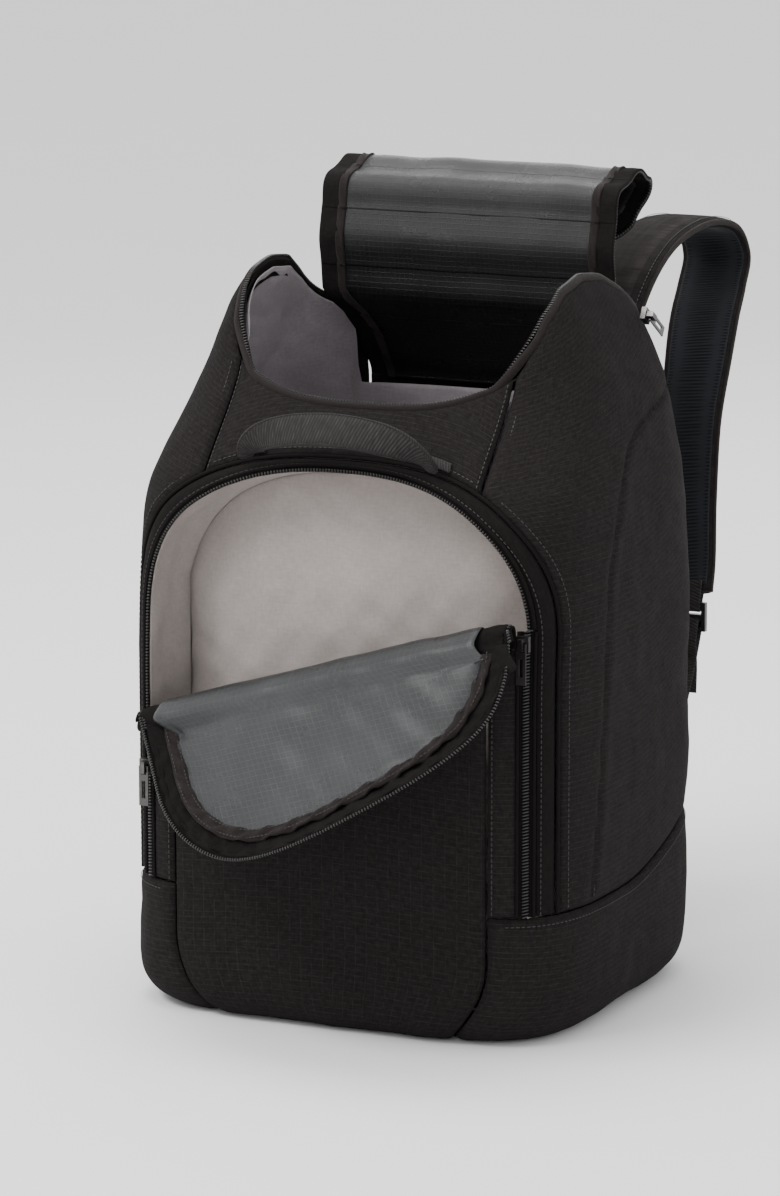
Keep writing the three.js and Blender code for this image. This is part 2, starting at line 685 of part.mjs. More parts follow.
function makeStraps() {
  const centre = STRAP.route.map((p) => new THREE.Vector3(...p));
  for (const [side, word] of [[1, "right"], [-1, "left"]]) {
    const route = centre.map((p) => new THREE.Vector3(side * p.x, p.y, p.z));
    const across = route.map(() => new THREE.Vector3(1, 0, 0));
    const widths = route.map((_, i) => mix(STRAP.width, STRAP.tipWidth, ease(i, 8, route.length - 1)));
    add(`shoulder_strap_${word}`, ribbon(route, widths, STRAP.thick, across), FOAM);

    const tip = route.at(-1);
    const frame = block(34, 5, 24, tip.x, tip.y - 6, tip.z - 18);
    const slots = [-6, 5].map((dz) => block(27, 9, 6, tip.x, tip.y - 6, tip.z - 18 + dz));
    add(`ladder_lock_${word}`, cut(frame, ...slots), PLASTIC);

    const low = onBack(section(128, 1), side * 132);
    const high = new THREE.Vector3(tip.x, 196, 208);
    const webbing = [low.clone().add(new THREE.Vector3(0, 4, 8)), low.clone().lerp(high, 0.5), high];
    webbing[1].y += 6;
    add(
      `lower_webbing_${word}`,
      ribbon(webbing, [24, 24, 24], 1.6, webbing.map(() => new THREE.Vector3(1, 0, 0))),
      WEBBING,
    );
    const wing = steps(side * 132 + 20, side * 132 - 20, 3).map((x) =>
      steps(104, 130, 2).map((z) => onBack(section(z, 1), x)),
    );
    add(`strap_wing_${word}`, sheet(wing, 2, -2 - GAP), WEBBING);
  }
}

makeBase();
makeLowerBand();
makeSidePanels();
makeFrontPanel();
makeBackPanel();
makeBackPads();
makeMainLiner();
makeDivider();
makePocket();
makeFlap();
makeRimZip();
makeSliders();
makeLidSliders();
makeLid();
makeHandle();
makeStraps();

export default group;
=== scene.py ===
"""Ski boot bag: the visual model. Forms are worked out in millimetres and turned into metres by build()."""
import json
import math

import bpy
import numpy as np
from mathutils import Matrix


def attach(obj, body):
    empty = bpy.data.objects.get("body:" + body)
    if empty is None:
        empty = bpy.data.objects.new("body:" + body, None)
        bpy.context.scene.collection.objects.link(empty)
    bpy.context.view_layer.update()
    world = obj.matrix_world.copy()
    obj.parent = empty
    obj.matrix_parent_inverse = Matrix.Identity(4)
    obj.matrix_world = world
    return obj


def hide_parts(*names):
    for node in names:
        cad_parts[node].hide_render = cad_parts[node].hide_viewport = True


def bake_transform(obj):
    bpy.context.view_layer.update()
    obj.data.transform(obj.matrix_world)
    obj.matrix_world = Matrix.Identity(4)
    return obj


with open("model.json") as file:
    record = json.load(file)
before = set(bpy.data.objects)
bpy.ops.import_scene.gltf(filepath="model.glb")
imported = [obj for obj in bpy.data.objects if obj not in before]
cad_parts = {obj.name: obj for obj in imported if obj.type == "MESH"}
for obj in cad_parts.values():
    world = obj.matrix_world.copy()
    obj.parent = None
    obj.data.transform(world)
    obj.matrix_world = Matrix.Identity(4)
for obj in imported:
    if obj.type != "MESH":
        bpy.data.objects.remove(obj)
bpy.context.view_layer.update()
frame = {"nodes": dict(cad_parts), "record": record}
NODES = frame["nodes"]
SIDES = (("right", 1), ("left", -1))
MM = 0.001
rng = np.random.default_rng(7)

# ---- driving dimensions, as in the CAD model

HALF_WIDTH = 193
WALL_DEPTH = 150
POCKET_DEPTH = 205
BACK_DEPTH = 142
BASE_EDGE = 28
BACK_TOP = 462
PANEL_SEAM_X = 117
CENTRE_PANEL_X = 133
LEG_FOOT = 105
GAP = 1
ABOVE_FLOOR = 0.1
UV_ROUND = 20  # cloth coordinates round a tube
ZIP_ARCH = (160, 310, 125, 2.4)  # half width, spring height, rise, power
SEAM_ARCH = (178, 310, 136, 2.6)
RIM = np.array([
    (-110, 503), (-97, 525), (-80, 548), (-55, 567), (-20, 574), (15, 570), (45, 556), (75, 537),
    (105, 520), (118, 508),
], float)
FOLD_RIGHT = np.array([158, -197, 333.0])
FOLD_LEFT = np.array([-160, -197, 236.0])
FOLD_ANGLE = math.radians(144)
FOLD_GAP = 15
FLAT_DEPTH = 199
WALL_POWER = 3.6  # how square the plan section is
POCKET_POWER = 5
LINER_INSET = 10.5
LINING_THICK = 0.8
MOUTH_HALF = 114


# ---- small helpers

def mix(a, b, t):
    return a + (b - a) * t


def ramp(v, lo, hi):
    return np.clip((v - lo) / (hi - lo), 0, 1)


def ease(v, lo, hi):
    t = ramp(v, lo, hi)
    return t * t * (3 - 2 * t)


def unit(v):
    return v / np.maximum(np.linalg.norm(v, axis=-1, keepdims=True), 1e-9)


def point(x, y, z):
    return np.stack(np.broadcast_arrays(x, y, z), -1).astype(float)


def grid(a, b):
    return np.meshgrid(a, b, indexing="ij")


def patch(low, high, count, steps):
    """count values from low to high, by steps shares from 0 to 1."""
    return grid(np.linspace(low, high, count), np.linspace(0, 1, steps))


def spline(points, count):
    """Catmull-Rom curve through points along the first axis, at count even shares of it."""
    p = np.asarray(points, float)
    p = np.concatenate([2 * p[:1] - p[1:2], p, 2 * p[-1:] - p[-2:-1]])
    at = np.linspace(0, len(p) - 3 - 1e-9, count)
    i = at.astype(int)
    t = (at - i).reshape(-1, *[1] * (p.ndim - 1))
    a, b, c, d = p[i], p[i + 1], p[i + 2], p[i + 3]
    return 0.5 * (2 * b + (c - a) * t + (2 * a - 5 * b + 4 * c - d) * t**2 + (3 * b - a - 3 * c + d) * t**3)


def length_along(path):
    return np.concatenate([[0], np.cumsum(np.linalg.norm(np.diff(path, axis=0), axis=1))])


def resample(path, pitch, *others):
    """path, and what goes with its points, at even steps of about pitch."""
    at = length_along(path)
    even = np.linspace(0, at[-1], max(2, round(at[-1] / pitch) + 1))
    return [np.stack([np.interp(even, at, p[:, k]) for k in range(3)], -1) for p in (path, *others)]


TURN = 6.28
WAVES = [(rng.normal(size=3), rng.uniform(0, TURN), rng.uniform(0.7, 1.3)) for _ in range(10)]


def ripples(p, wavelength):
    """Soft wrinkles, mostly from -1 to 1, at points p: one field of waves that fills space."""
    total = np.zeros(p.shape[:-1])
    for direction, phase, scale in WAVES:
        total += np.sin(p @ (direction / np.linalg.norm(direction)) * TURN / (wavelength * scale) + phase)
    return total / 5


# ---- the bag's form

def half_width(z):
    return HALF_WIDTH - 58 * ramp(z, 300, 575) ** 2.4 - 6 * ramp(60 - z, 0, 60) ** 2


def lean(z):
    return 52 * ramp(z, 260, 590) ** 1.8


def edge_inset(z):
    d = np.clip(BASE_EDGE - z, 0, BASE_EDGE)
    return BASE_EDGE - np.sqrt(BASE_EDGE**2 - d**2)


def wall_share(z):
    return ease(z, 395, 510)


def section(z, wall, inset=0.0):
    """Half width, front depth, back depth and front power of the plan section at height z.
    wall goes from 0, the pocket's front, to 1, the compartment's own front wall behind it."""
    under = edge_inset(z) + inset
    front = mix(POCKET_DEPTH, WALL_DEPTH, wall) - lean(z) - under
    back = BACK_DEPTH - 22 * ramp(z, 380, 530) ** 2 - under
    return half_width(z) - under, front, back, mix(POCKET_POWER, WALL_POWER, wall)


def round_at(angle, z, wall, inset=0.0):
    a, front, back, power = section(z, wall, inset)
    forward = np.sin(angle) < 0
    b = np.where(forward, front, back)
    n = np.where(forward, power, WALL_POWER)
    r = (np.abs(np.cos(angle) / a) ** n + np.abs(np.sin(angle) / b) ** n) ** (-1 / n)
    return point(r * np.cos(angle), r * np.sin(angle), z)


def front_at(x, z, wall=None, inset=0.0):
    a, b, _, n = section(z, wall_share(z) if wall is None else wall, inset)
    return point(x, -b * np.clip(1 - np.abs(x / a) ** n, 0, 1) ** (1 / n), z)


def back_at(x, z, inset=0.0):
    a, _, b, _ = section(z, 1, inset)
    return point(x, b * np.clip(1 - np.abs(x / a) ** WALL_POWER, 0, 1) ** (1 / WALL_POWER), z)


def outside_at(angle, z, inset=0.0):
    return round_at(angle, z, wall_share(z), inset)


def fold_height(x):
    return mix(FOLD_LEFT[2], FOLD_RIGHT[2], ramp(x, FOLD_LEFT[0], FOLD_RIGHT[0]))


def pocket_at(x, z):
    p = front_at(x, z)
    flat = 1 - ease(np.abs(z - fold_height(x)), 0, 100)
    p[..., 1] = mix(p[..., 1], np.maximum(p[..., 1], -FLAT_DEPTH), flat)
    return p


def arch_height(arch, x):
    half, spring, rise, n = arch
    return spring + rise * np.clip(1 - np.abs(x / half) ** n, 0, 1) ** (1 / n)


def arch_reach(arch, z):
    half, spring, rise, n = arch
    return half * np.clip(1 - ramp(z, spring, spring + rise) ** n, 0, 1) ** (1 / n)


def arch_line(arch, inset, foot_right, foot_left, count):
    """x and z along an arch from its right foot to its left, at even steps."""
    half, spring, rise, n = arch
    half, rise = half - inset, rise - inset

    def start(foot):
        return math.asin(min(1, max(0, (foot - spring) / rise)) ** (n / 2))

    t = np.linspace(start(foot_right), math.pi - start(foot_left), count)
    x = half * np.sign(np.cos(t)) * np.abs(np.cos(t)) ** (2 / n)
    z = spring + rise * np.abs(np.sin(t)) ** (2 / n)
    if foot_right < spring:
        x, z = np.r_[half, x], np.r_[foot_right, z]
    if foot_left < spring:
        x, z = np.r_[x, -half], np.r_[z, foot_left]
    line = point(x, 0 * x, z)
    line, = resample(line, length_along(line)[-1] / (count - 1))
    return line[:, 0], line[:, 2]


def band_seam(y):
    return 104 + 36 * ease(y, -60, 130)


def back_seam(z):
    return mix(150, 112, ease(z, 250, 470))


def front_rim(x):
    return 481 + 26 * np.abs(x / PANEL_SEAM_X) ** 3


def side_at(share, z):
    """The right side panel, from its front edge, share 0, to its back edge, share 1."""
    x = np.where(z > 420, np.maximum(arch_reach(SEAM_ARCH, z), PANEL_SEAM_X), arch_reach(SEAM_ARCH, z))
    front = front_at(x + GAP, z)
    back = back_at(back_seam(z) + GAP, z)
    low = np.arctan2(front[..., 1], front[..., 0])
    high = np.arctan2(back[..., 1], back[..., 0])
    return outside_at(mix(low, high, share), z)


def side_rim(share):
    z = np.full_like(share, 540.0)
    for _ in range(12):
        z = np.interp(side_at(share, z)[..., 1], RIM[:, 0], RIM[:, 1])
    return z


def climb(h):
    """Height of the wall's point at a distance h up the cloth from the flat of the base."""
    arc = BASE_EDGE * math.pi / 2
    return np.where(h < arc, BASE_EDGE * (1 - np.cos(np.minimum(h, arc) / BASE_EDGE)), BASE_EDGE + h - arc)


def unclimb(z):
    return z - BASE_EDGE + BASE_EDGE * math.pi / 2


def normals_of(surface, a, b, sign=1, step=0.6):
    """Outward normals of surface(a, b), from small steps along both parameters."""
    span = 0.002 if np.max(np.abs(a)) < 7 else step
    u = surface(a + span, b) - surface(a - span, b)
    v = surface(a, b + step) - surface(a, b - step)
    return unit(np.cross(u, v)) * sign


def on(surface, a, b, lift=0.0, sign=1):
    """Points of a surface, lifted along its outward normals, and the normals."""
    n = normals_of(surface, a, b, sign)
    return surface(a, b) + n * lift, n


# ---- meshes

def build(name, verts, faces, material, uv=None):
    """A mesh object from points in millimetres."""
    mesh = bpy.data.meshes.new(name)
    mesh.from_pydata((np.asarray(verts, float).reshape(-1, 3) * MM).tolist(), [], [list(f) for f in faces])
    if uv is not None:
        layer = mesh.uv_layers.new(name="cloth")
        index = np.zeros(len(mesh.loops), int)
        mesh.loops.foreach_get("vertex_index", index)
        layer.data.foreach_set("uv", (np.asarray(uv, float).reshape(-1, 2)[index] * MM).ravel())
    mesh.polygons.foreach_set("use_smooth", [True] * len(mesh.polygons))
    mesh.materials.append(material)
    obj = bpy.data.objects.new(name, mesh)
    bpy.context.scene.collection.objects.link(obj)
    return obj


def shell_faces(nu, nv):
    """Quads of a closed shell made of two grids of nu by nv points, outer first."""
    i, j = grid(np.arange(nu - 1), np.arange(nv - 1))
    a = (i * nv + j).ravel()
    outer = np.stack([a, a + nv, a + nv + 1, a + 1], -1)
    inner = np.stack([a, a + 1, a + nv + 1, a + nv], -1) + nu * nv
    ring = [i * nv for i in range(nu)] + [(nu - 1) * nv + j for j in range(1, nv)]
    ring += [i * nv + nv - 1 for i in range(nu - 2, -1, -1)] + list(range(nv - 2, 0, -1))
    ring = np.array(ring)
    after = np.roll(ring, -1)
    side = np.stack([ring, ring + nu * nv, after + nu * nv, after], -1)
    return np.concatenate([outer, inner, side])


def edge_distance(p):
    """Distance of every grid point from the grid's four edges, and its place along both ways."""
    u = np.concatenate([np.zeros((1, p.shape[1])), np.cumsum(np.linalg.norm(np.diff(p, axis=0), axis=-1), 0)])
    v = np.concatenate([np.zeros((p.shape[0], 1)), np.cumsum(np.linalg.norm(np.diff(p, axis=1), axis=-1), 1)], 1)
    return np.minimum(np.minimum(u, u[-1:] - u), np.minimum(v, v[:, -1:] - v)), u, v


def cloth(name, p, n, material, thick=2.2, puff=1.0, pinch=2.0, wrinkle=0.5, wave=60, extra=0):
    """A sewn panel: outer surface p with normals n, drawn in at its seams and slightly full between them."""
    near, u, v = edge_distance(p)
    lift = puff * (1 - np.exp(-near / 16)) - pinch * np.exp(-near / 2.2)
    lift = lift + wrinkle * ripples(p, wave) * (1 - np.exp(-near / 12))
    lift = lift + 0.35 * wrinkle * ripples(p[..., ::-1], wave / 3) * (1 - np.exp(-near / 5))
    lift = lift + extra
    outer = p + n * lift[..., None]
    inner = p + n * (np.minimum(lift, 0) - thick)[..., None]
    for layer in (outer, inner):
        layer[..., 2] = np.maximum(layer[..., 2], ABOVE_FLOOR)
    uv = np.stack([np.broadcast_to(u.mean(1, keepdims=True), u.shape), v], -1)
    return build(name, np.stack([outer, inner]), shell_faces(*p.shape[:2]), material, np.stack([uv, uv]))


def mirrored(p):
    return p * np.array([-1, 1, 1])


def grid_normals(p):
    return unit(np.cross(np.gradient(p, axis=0), np.gradient(p, axis=1)))


def away_from(p, line):
    """Distance of every point of p from the nearest point of a line."""
    near = np.full(p.shape[:-1], 1e9)
    for q in line:
        near = np.minimum(near, np.linalg.norm(p - q, axis=-1))
    return near


def loft(name, rings, material, uv=None):
    """A closed tube of rings, an array of stations by points round."""
    count, around = rings.shape[:2]
    i, j = grid(np.arange(count - 1), np.arange(around))
    a = (i * around + j).ravel()
    b = (i * around + (j + 1) % around).ravel()
    faces = np.stack([a, b, b + around, a + around], -1).tolist()
    faces += [list(range(around))[::-1], [(count - 1) * around + k for k in range(around)]]
    if uv is None:
        width = np.linspace(0, 1, around) * UV_ROUND
        uv = np.stack(np.broadcast_arrays(length_along(rings.mean(1))[:, None], width[None]), -1)
    return build(name, rings, faces, material, uv)


def frames(path, normals):
    """Tangent, side and normal at each point of a path."""
    t = unit(np.gradient(path, axis=0))
    side = unit(np.cross(t, normals))
    return t, side, unit(np.cross(side, t))


def square_to(path):
    """Directions square to a path that runs across X."""
    return unit(np.cross(unit(np.gradient(path, axis=0)), np.array([1.0, 0, 0])))


def tube(name, path, normals, wide, tall, material, around=10):
    """A cord-like band of oval section on a path."""
    _, side, up = frames(path, normals)
    angle = np.linspace(0, 2 * math.pi, around, endpoint=False)
    rings = (path[:, None] + side[:, None] * (np.cos(angle) * wide / 2)[None, :, None]
             + up[:, None] * (np.sin(angle) * tall / 2)[None, :, None])
    return loft(name, rings, material)


def tape(name, path, normals, width, thick, material, shift=0.0, ruffle=0.0, crown=0.0):
    """A flat band along a path, its width square to the normals. shift moves it sideways."""
    _, side, up = frames(path, normals)
    half = np.broadcast_to(np.asarray(width, float) / 2, len(path))
    across = np.array([-1, -0.94, -0.6, -0.2, 0.2, 0.6, 0.94, 1])
    top = np.array([0.0, 0.5, 0.5, 0.5, 0.5, 0.5, 0.5, 0.0]) * thick
    top = top + crown * (1 - across**2)
    at = length_along(path)
    rings = []
    for x, h in [*zip(across, top), *zip(across[-2:0:-1], -0.5 * thick + crown * (1 - across[-2:0:-1] ** 2))]:
        centre = path + side * (x * half + shift)[:, None]
        wave = ruffle * (np.sin(at / 2.9 + 2.5 * x) * np.sin(at / 7.3 + 1) + 0.6 * np.sin(at / 4.7 + 3 * x))
        rings.append(centre + up * (h + wave)[:, None] if ruffle else centre + up * h)
    rings = np.stack(rings, 1)
    width_at = np.r_[across, across[-2:0:-1]] * half.mean()
    uv = np.stack(np.broadcast_arrays(at[:, None], width_at[None]), -1)
    return loft(name, rings, material, uv=uv)


def scatter(name, centres, axes, sizes, material):
    """Many small spindles: each a six-sided pill with its half lengths along three axes."""
    sides = 6
    ring = [(0.72, math.cos(a), math.sin(a)) for a in np.linspace(0, 2 * math.pi, sides, endpoint=False)]
    local = np.array([(-1, 0, 0), *[(-x, c, s) for x, c, s in ring], *ring, (1, 0, 0)])
    last = 2 * sides + 1
    faces = []
    for k in range(sides):
        m = (k + 1) % sides
        faces += [(0, 1 + m, 1 + k), (last, 1 + sides + k, 1 + sides + m)]
        faces += [(1 + k, 1 + m, 1 + sides + m), (1 + k, 1 + sides + m, 1 + sides + k)]
    a, b, c = (x[:, None] for x in axes)
    pill = (local * np.array(sizes))[None]
    verts = centres[:, None] + a * pill[..., :1] + b * pill[..., 1:2] + c * pill[..., 2:]
    every = (np.array(faces)[None] + (np.arange(len(centres)) * len(local))[:, None, None]).reshape(-1, 3)
    return build(name, verts, every, material)


def stitches(name, path, normals, material, pitch=4.2, lift=0.15, gauge=0.42):
    path, normals = resample(path, pitch, normals)
    t, side, up = frames(path, normals)
    return scatter(name, path + up * lift, (t, side, up), (pitch * 0.36, gauge, gauge * 0.7), material)


def coil(name, path, normals, material, pitch=2.5, reach=2.2, shift=0.0, gauge=0.72, slant=0.18):
    """One row of zip coil: short bars across the path."""
    path, normals = resample(path, pitch, normals)
    t, side, up = frames(path, normals)
    return scatter(name, path + side * shift, (unit(side + t * slant), t, up), (reach, gauge, gauge * 1.5), material)


def put(obj, body, slot, *replaced):
    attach(obj, body)
    if replaced:
        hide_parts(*replaced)


def sew(name, p, n, material, slot, *replaced, **shape):
    """A sewn panel that stays on the bag."""
    put(cloth(name, p, n, material, **shape), "bag", slot, *replaced)


def seam(name, surface, a, b, lift):
    """A row of stitches on the bag's shell, along parameters a and b of a surface."""
    row, row_n = on(surface, a, b, lift)
    put(stitches(name, row, row_n, THREAD), "bag", "shell_fabric")


# ---- materials

class Look:
    """A material whose nodes are added by short calls."""

    def __init__(self, name, rough, **fixed):
        self.mat = bpy.data.materials.new(name)
        self.mat.use_nodes = True
        self.tree = self.mat.node_tree
        self.shader = self.tree.nodes["Principled BSDF"]
        self.set(Roughness=rough, **fixed)
        self.uv = self.add("ShaderNodeTexCoord", out="UV")
        self.place = self.add("ShaderNodeTexCoord", out="Object")
        split = self.tree.nodes.new("ShaderNodeSeparateXYZ")
        self.tree.links.new(self.uv, split.inputs[0])
        self.u, self.v = split.outputs[0], split.outputs[1]

    def set(self, **values):
        for name, value in values.items():
            self.plug(self.shader.inputs[name.replace("_", " ")], value)

    def plug(self, socket, value):
        if isinstance(value, bpy.types.NodeSocket):
            self.tree.links.new(value, socket)
        elif isinstance(value, tuple) and len(value) == 3 and socket.type == "RGBA":
            socket.default_value = (*value, 1)
        else:
            socket.default_value = value

    def add(self, kind, out=0, inputs=(), **settings):
        node = self.tree.nodes.new(kind)
        for key, value in settings.items():
            setattr(node, key, value)
        for key, value in dict(inputs).items():
            self.plug(node.inputs[key], value)
        return node.outputs[out]

    def math(self, operation, a, b=0.0, c=0.0):
        return self.add("ShaderNodeMath", inputs={0: a, 1: b, 2: c}, operation=operation)

    def times(self, a, b):
        return self.math("MULTIPLY", a, b)

    def noise(self, scale, detail=3.0, stretch=None, vector=None):
        vector = vector or self.place
        if stretch:
            vector = self.add("ShaderNodeMapping", inputs={"Vector": vector, "Scale": stretch})
        return self.add("ShaderNodeTexNoise", inputs={"Vector": vector, "Scale": scale, "Detail": detail})

    def range(self, value, low, high, to_low=0.0, to_high=1.0):
        return self.add("ShaderNodeMapRange", inputs={0: value, 1: low, 2: high, 3: to_low, 4: to_high})

    def lines(self, along, spacing, width):
        """1 on lines that are a spacing apart, in millimetres, and 0 between them."""
        away = self.math("PINGPONG", along, spacing * MM / 2)
        return self.range(away, width * MM / 2, width * MM / 2 + 0.00018, 1.0, 0.0)

    def wave(self, along, pitch):
        return self.math("SINE", self.times(along, 2 * math.pi / (pitch * MM)))

    def mix(self, share, a, b):
        return self.add("ShaderNodeMix", out=2, inputs={0: share, 6: a, 7: b}, data_type="RGBA")

    def bump(self, height, distance, strength=1.0, under=None):
        inputs = {"Height": height, "Distance": distance * MM, "Strength": strength}
        if under:
            inputs["Normal"] = under
        return self.add("ShaderNodeBump", inputs=inputs)


def shade(colour, factor):
    return tuple(c * factor for c in colour)


def woven(name, colour, rough=0.82, pitch=0.75, heather=0.7, ripstop=None, sheen=0.005, depth=0.12):
    """Plain woven cloth: crossing threads, flecked yarn, slow stains of tone and, where asked, ripstop lines."""
    look = Look(name, rough, Sheen_Weight=sheen, Sheen_Roughness=0.45, Specular_IOR_Level=0.04)
    look.set(Sheen_Tint=(1, 0.95, 0.92))
    weave = look.times(look.wave(look.u, pitch), look.wave(look.v, pitch))
    across = look.noise(520, 2, (1, 0.3, 1), look.uv)
    along = look.noise(520, 2, (0.3, 1, 1), look.uv)
    fleck = look.range(look.math("ADD", across, along), 0.75, 1.35)
    tone = look.range(look.noise(9, 4), 0.3, 0.7, 0.0, 1.0)
    base = look.mix(look.times(fleck, heather), shade(colour, 0.72), shade(colour, 1.75))
    base = look.mix(look.times(tone, 0.2), base, shade(colour, 0.75))
    height = look.math("MULTIPLY_ADD", fleck, 0.8, weave)
    if ripstop:
        level, upright, strength = ripstop
        grid_lines = look.lines(look.v, level, 0.5)
        if upright:
            grid_lines = look.math("MAXIMUM", grid_lines, look.lines(look.u, upright, 0.5))
        broken = look.times(grid_lines, look.range(look.noise(260, 2, None, look.uv), 0.35, 0.6))
        base = look.mix(look.times(broken, strength), base, shade(colour, 3.4))
        height = look.math("MULTIPLY_ADD", grid_lines, 1.6, height)
    wear = look.range(look.noise(34, 5), 0.58, 0.78)
    base = look.mix(look.times(wear, 0.06), base, shade(colour, 2.2))
    soft = look.bump(look.noise(75, 3), 0.5, 0.5)
    look.set(Base_Color=base, Normal=look.bump(height, depth, 0.9, soft))
    look.set(Roughness=look.range(look.noise(60, 3), 0.3, 0.7, rough - 0.06, min(1, rough + 0.06)))
    return look.mat


def coated(name, colour, line, rough, spacing=4.2, coat=0.35):
    """Coated ripstop: glossy film over a fine grid, with soft dents and scuffs."""
    look = Look(name, rough, Coat_Weight=coat, Coat_Roughness=0.25, Specular_IOR_Level=0.28)
    squares = look.math("MAXIMUM", look.lines(look.u, spacing, 0.35), look.lines(look.v, spacing, 0.35))
    faint = look.times(squares, look.range(look.noise(120, 2, None, look.uv), 0.3, 0.6, 0.2, 0.6))
    tone = look.range(look.noise(14, 4), 0.3, 0.7)
    base = look.mix(tone, shade(colour, 0.8), shade(colour, 1.25))
    base = look.mix(faint, base, line)
    scuff = look.range(look.noise(45, 3, (1, 1, 0.3)), 0.58, 0.8)
    base = look.mix(look.times(scuff, 0.15), base, line)
    dents = look.bump(look.noise(22, 1), 1.2, 0.5)
    threads = look.times(look.wave(look.u, 0.6), look.wave(look.v, 0.6))
    threads = look.math("MULTIPLY_ADD", squares, 2.2, threads)
    look.set(Base_Color=base, Normal=look.bump(threads, 0.06, 0.7, dents))
    look.set(Roughness=look.range(look.noise(26, 5), 0.3, 0.7, rough - 0.07, rough + 0.1))
    return look.mat


def ribbed(name, colour, pitch=1.7, slant=0.0):
    """Webbing: ribs across its length with a twill of fine yarn, painted highlights on the rib crests and painted
    shade between the ribs.
    """
    look = Look(name, 0.6, Sheen_Weight=0.02, Specular_IOR_Level=0.2)
    run = look.math("MULTIPLY_ADD", look.v, slant, look.u)
    ribs = look.range(look.wave(run, pitch), -1, 1)
    yarn = look.wave(look.math("MULTIPLY_ADD", look.v, 1.0, look.times(look.u, 0.4)), 0.55)
    fleck = look.noise(420, 3, (1, 0.3, 1), look.uv)
    # painted highlight on the rib crests and painted shade in the troughs between them, broken up by the flecked
    # yarn
    painted_rib_highlight = look.times(ribs, look.range(fleck, 0.3, 0.7))
    base = look.mix(painted_rib_highlight, shade(colour, 0.45), shade(colour, 2.3))
    height = look.math("MULTIPLY_ADD", yarn, 0.12, ribs)
    look.set(Base_Color=base, Normal=look.bump(height, 0.5, 0.9))
    return look.mat


def mesh_cloth(name, colour):
    """Spacer mesh: small staggered holes in a knitted face, with painted shade in the holes."""
    look = Look(name, 0.9, Sheen_Weight=0.03, Specular_IOR_Level=0.1)
    cells = look.add("ShaderNodeTexVoronoi", inputs={"Vector": look.uv, "Scale": 330.0, "Randomness": 0.15})
    holes = look.range(cells, 0.12, 0.42)
    knit = look.noise(900, 2, None, look.uv)
    tone = look.range(look.noise(12, 4), 0.3, 0.7)
    # the holes are painted darker than the face around them: painted shade in the recesses
    base = look.mix(holes, shade(colour, 0.35), shade(colour, 1.3))
    base = look.mix(look.times(tone, 0.4), base, shade(colour, 0.8))
    height = look.math("MULTIPLY_ADD", knit, 0.3, holes)
    look.set(Base_Color=base, Normal=look.bump(height, 0.5, 0.9, look.bump(look.noise(60, 3), 1.0, 0.4)))
    return look.mat


def hard(name, colour, rough, metallic=0.0, edge=2.0):
    """Moulded or cast small parts: fine grain, handling wear in patches."""
    look = Look(name, rough, Metallic=metallic)
    wear = look.range(look.noise(90, 6), 0.55, 0.75)
    fine = look.noise(500, 3)
    base = look.mix(look.times(wear, 0.5), colour, shade(colour, edge))
    look.set(Base_Color=base, Normal=look.bump(fine, 0.06, 0.6))
    look.set(Roughness=look.range(wear, 0, 1, rough, rough - 0.12))
    return look.mat


SHELL = woven("shell_cloth", (0.0138, 0.0118, 0.0118), ripstop=(4.4, None, 0.30))
PLAIN = woven("plain_cloth", (0.0108, 0.0092, 0.0090), heather=0.4)
CENTRE = woven("ripstop_cloth", (0.0130, 0.0112, 0.0111), pitch=0.9, ripstop=(4.6, 9.2, 0.30), depth=0.16)
BINDING = woven("binding_tape", (0.0230, 0.0185, 0.0180), rough=0.55, pitch=0.45, heather=0.25, sheen=0.04)
LINING = woven("compartment_lining", (0.40, 0.36, 0.385), rough=0.66, pitch=0.5, heather=0.15, sheen=0.08)
POCKET_LINING = woven("pocket_lining", (0.50, 0.445, 0.42), rough=0.64, pitch=0.5, heather=0.12, sheen=0.08)
BOARD_CLOTH = woven("floor_lining", (0.06, 0.055, 0.057), rough=0.8)
LID_COAT = coated("lid_coating", (0.0036, 0.0037, 0.0040), (0.013, 0.0135, 0.014), 0.28, coat=0.03)
FLAP_COAT = coated("flap_coating", (0.0150, 0.0162, 0.0170), (0.048, 0.050, 0.052), 0.27, spacing=5.0, coat=0.15)
WEBBING = ribbed("ribbed_webbing", (0.0150, 0.0130, 0.0124), pitch=2.6, slant=0.35)
TAPE = woven("zip_tape", (0.0075, 0.0066, 0.0062), rough=0.85, pitch=0.6, heather=0.2)
MESH = mesh_cloth("spacer_mesh", (0.013, 0.0140, 0.0165))
TEETH = hard("zip_coil", (0.0105, 0.0095, 0.009), 0.34, edge=2.6)
THREAD = hard("sewing_thread", (0.021, 0.018, 0.017), 0.7, edge=1.4)
METAL = hard("gunmetal", (0.085, 0.082, 0.08), 0.36, metallic=1.0, edge=2.2)
PLASTIC = hard("moulded_plastic", (0.008, 0.008, 0.0084), 0.42, edge=2.5)

BY_SLOT = {
    "shell_fabric": SHELL, "ripstop": CENTRE, "board": BOARD_CLOTH, "foam": MESH, "webbing": WEBBING,
    "lining": LINING, "pocket_lining": POCKET_LINING, "zip": TAPE, "metal": METAL, "plastic": PLASTIC,
    "grey_tarpaulin": FLAP_COAT, "tarpaulin": LID_COAT,
}
for part in frame["record"]["subparts"]:
    node = NODES[part["node"]]
    node.data.materials.clear()
    node.data.materials.append(BY_SLOT[part["material_slot"]])

# ---- shell panels

SIDE_SEAM = [(-127, 112), (-113, 216), (-105, 308), (-93, 368), (-59, 424), (-13, 456), (83, 476)]


def side_share(y, z):
    """Share of the side panel at which it passes through y, at height z."""
    shares = np.linspace(0, 1, 200)
    return np.interp(y, side_at(shares, np.full_like(shares, z))[:, 1], shares)


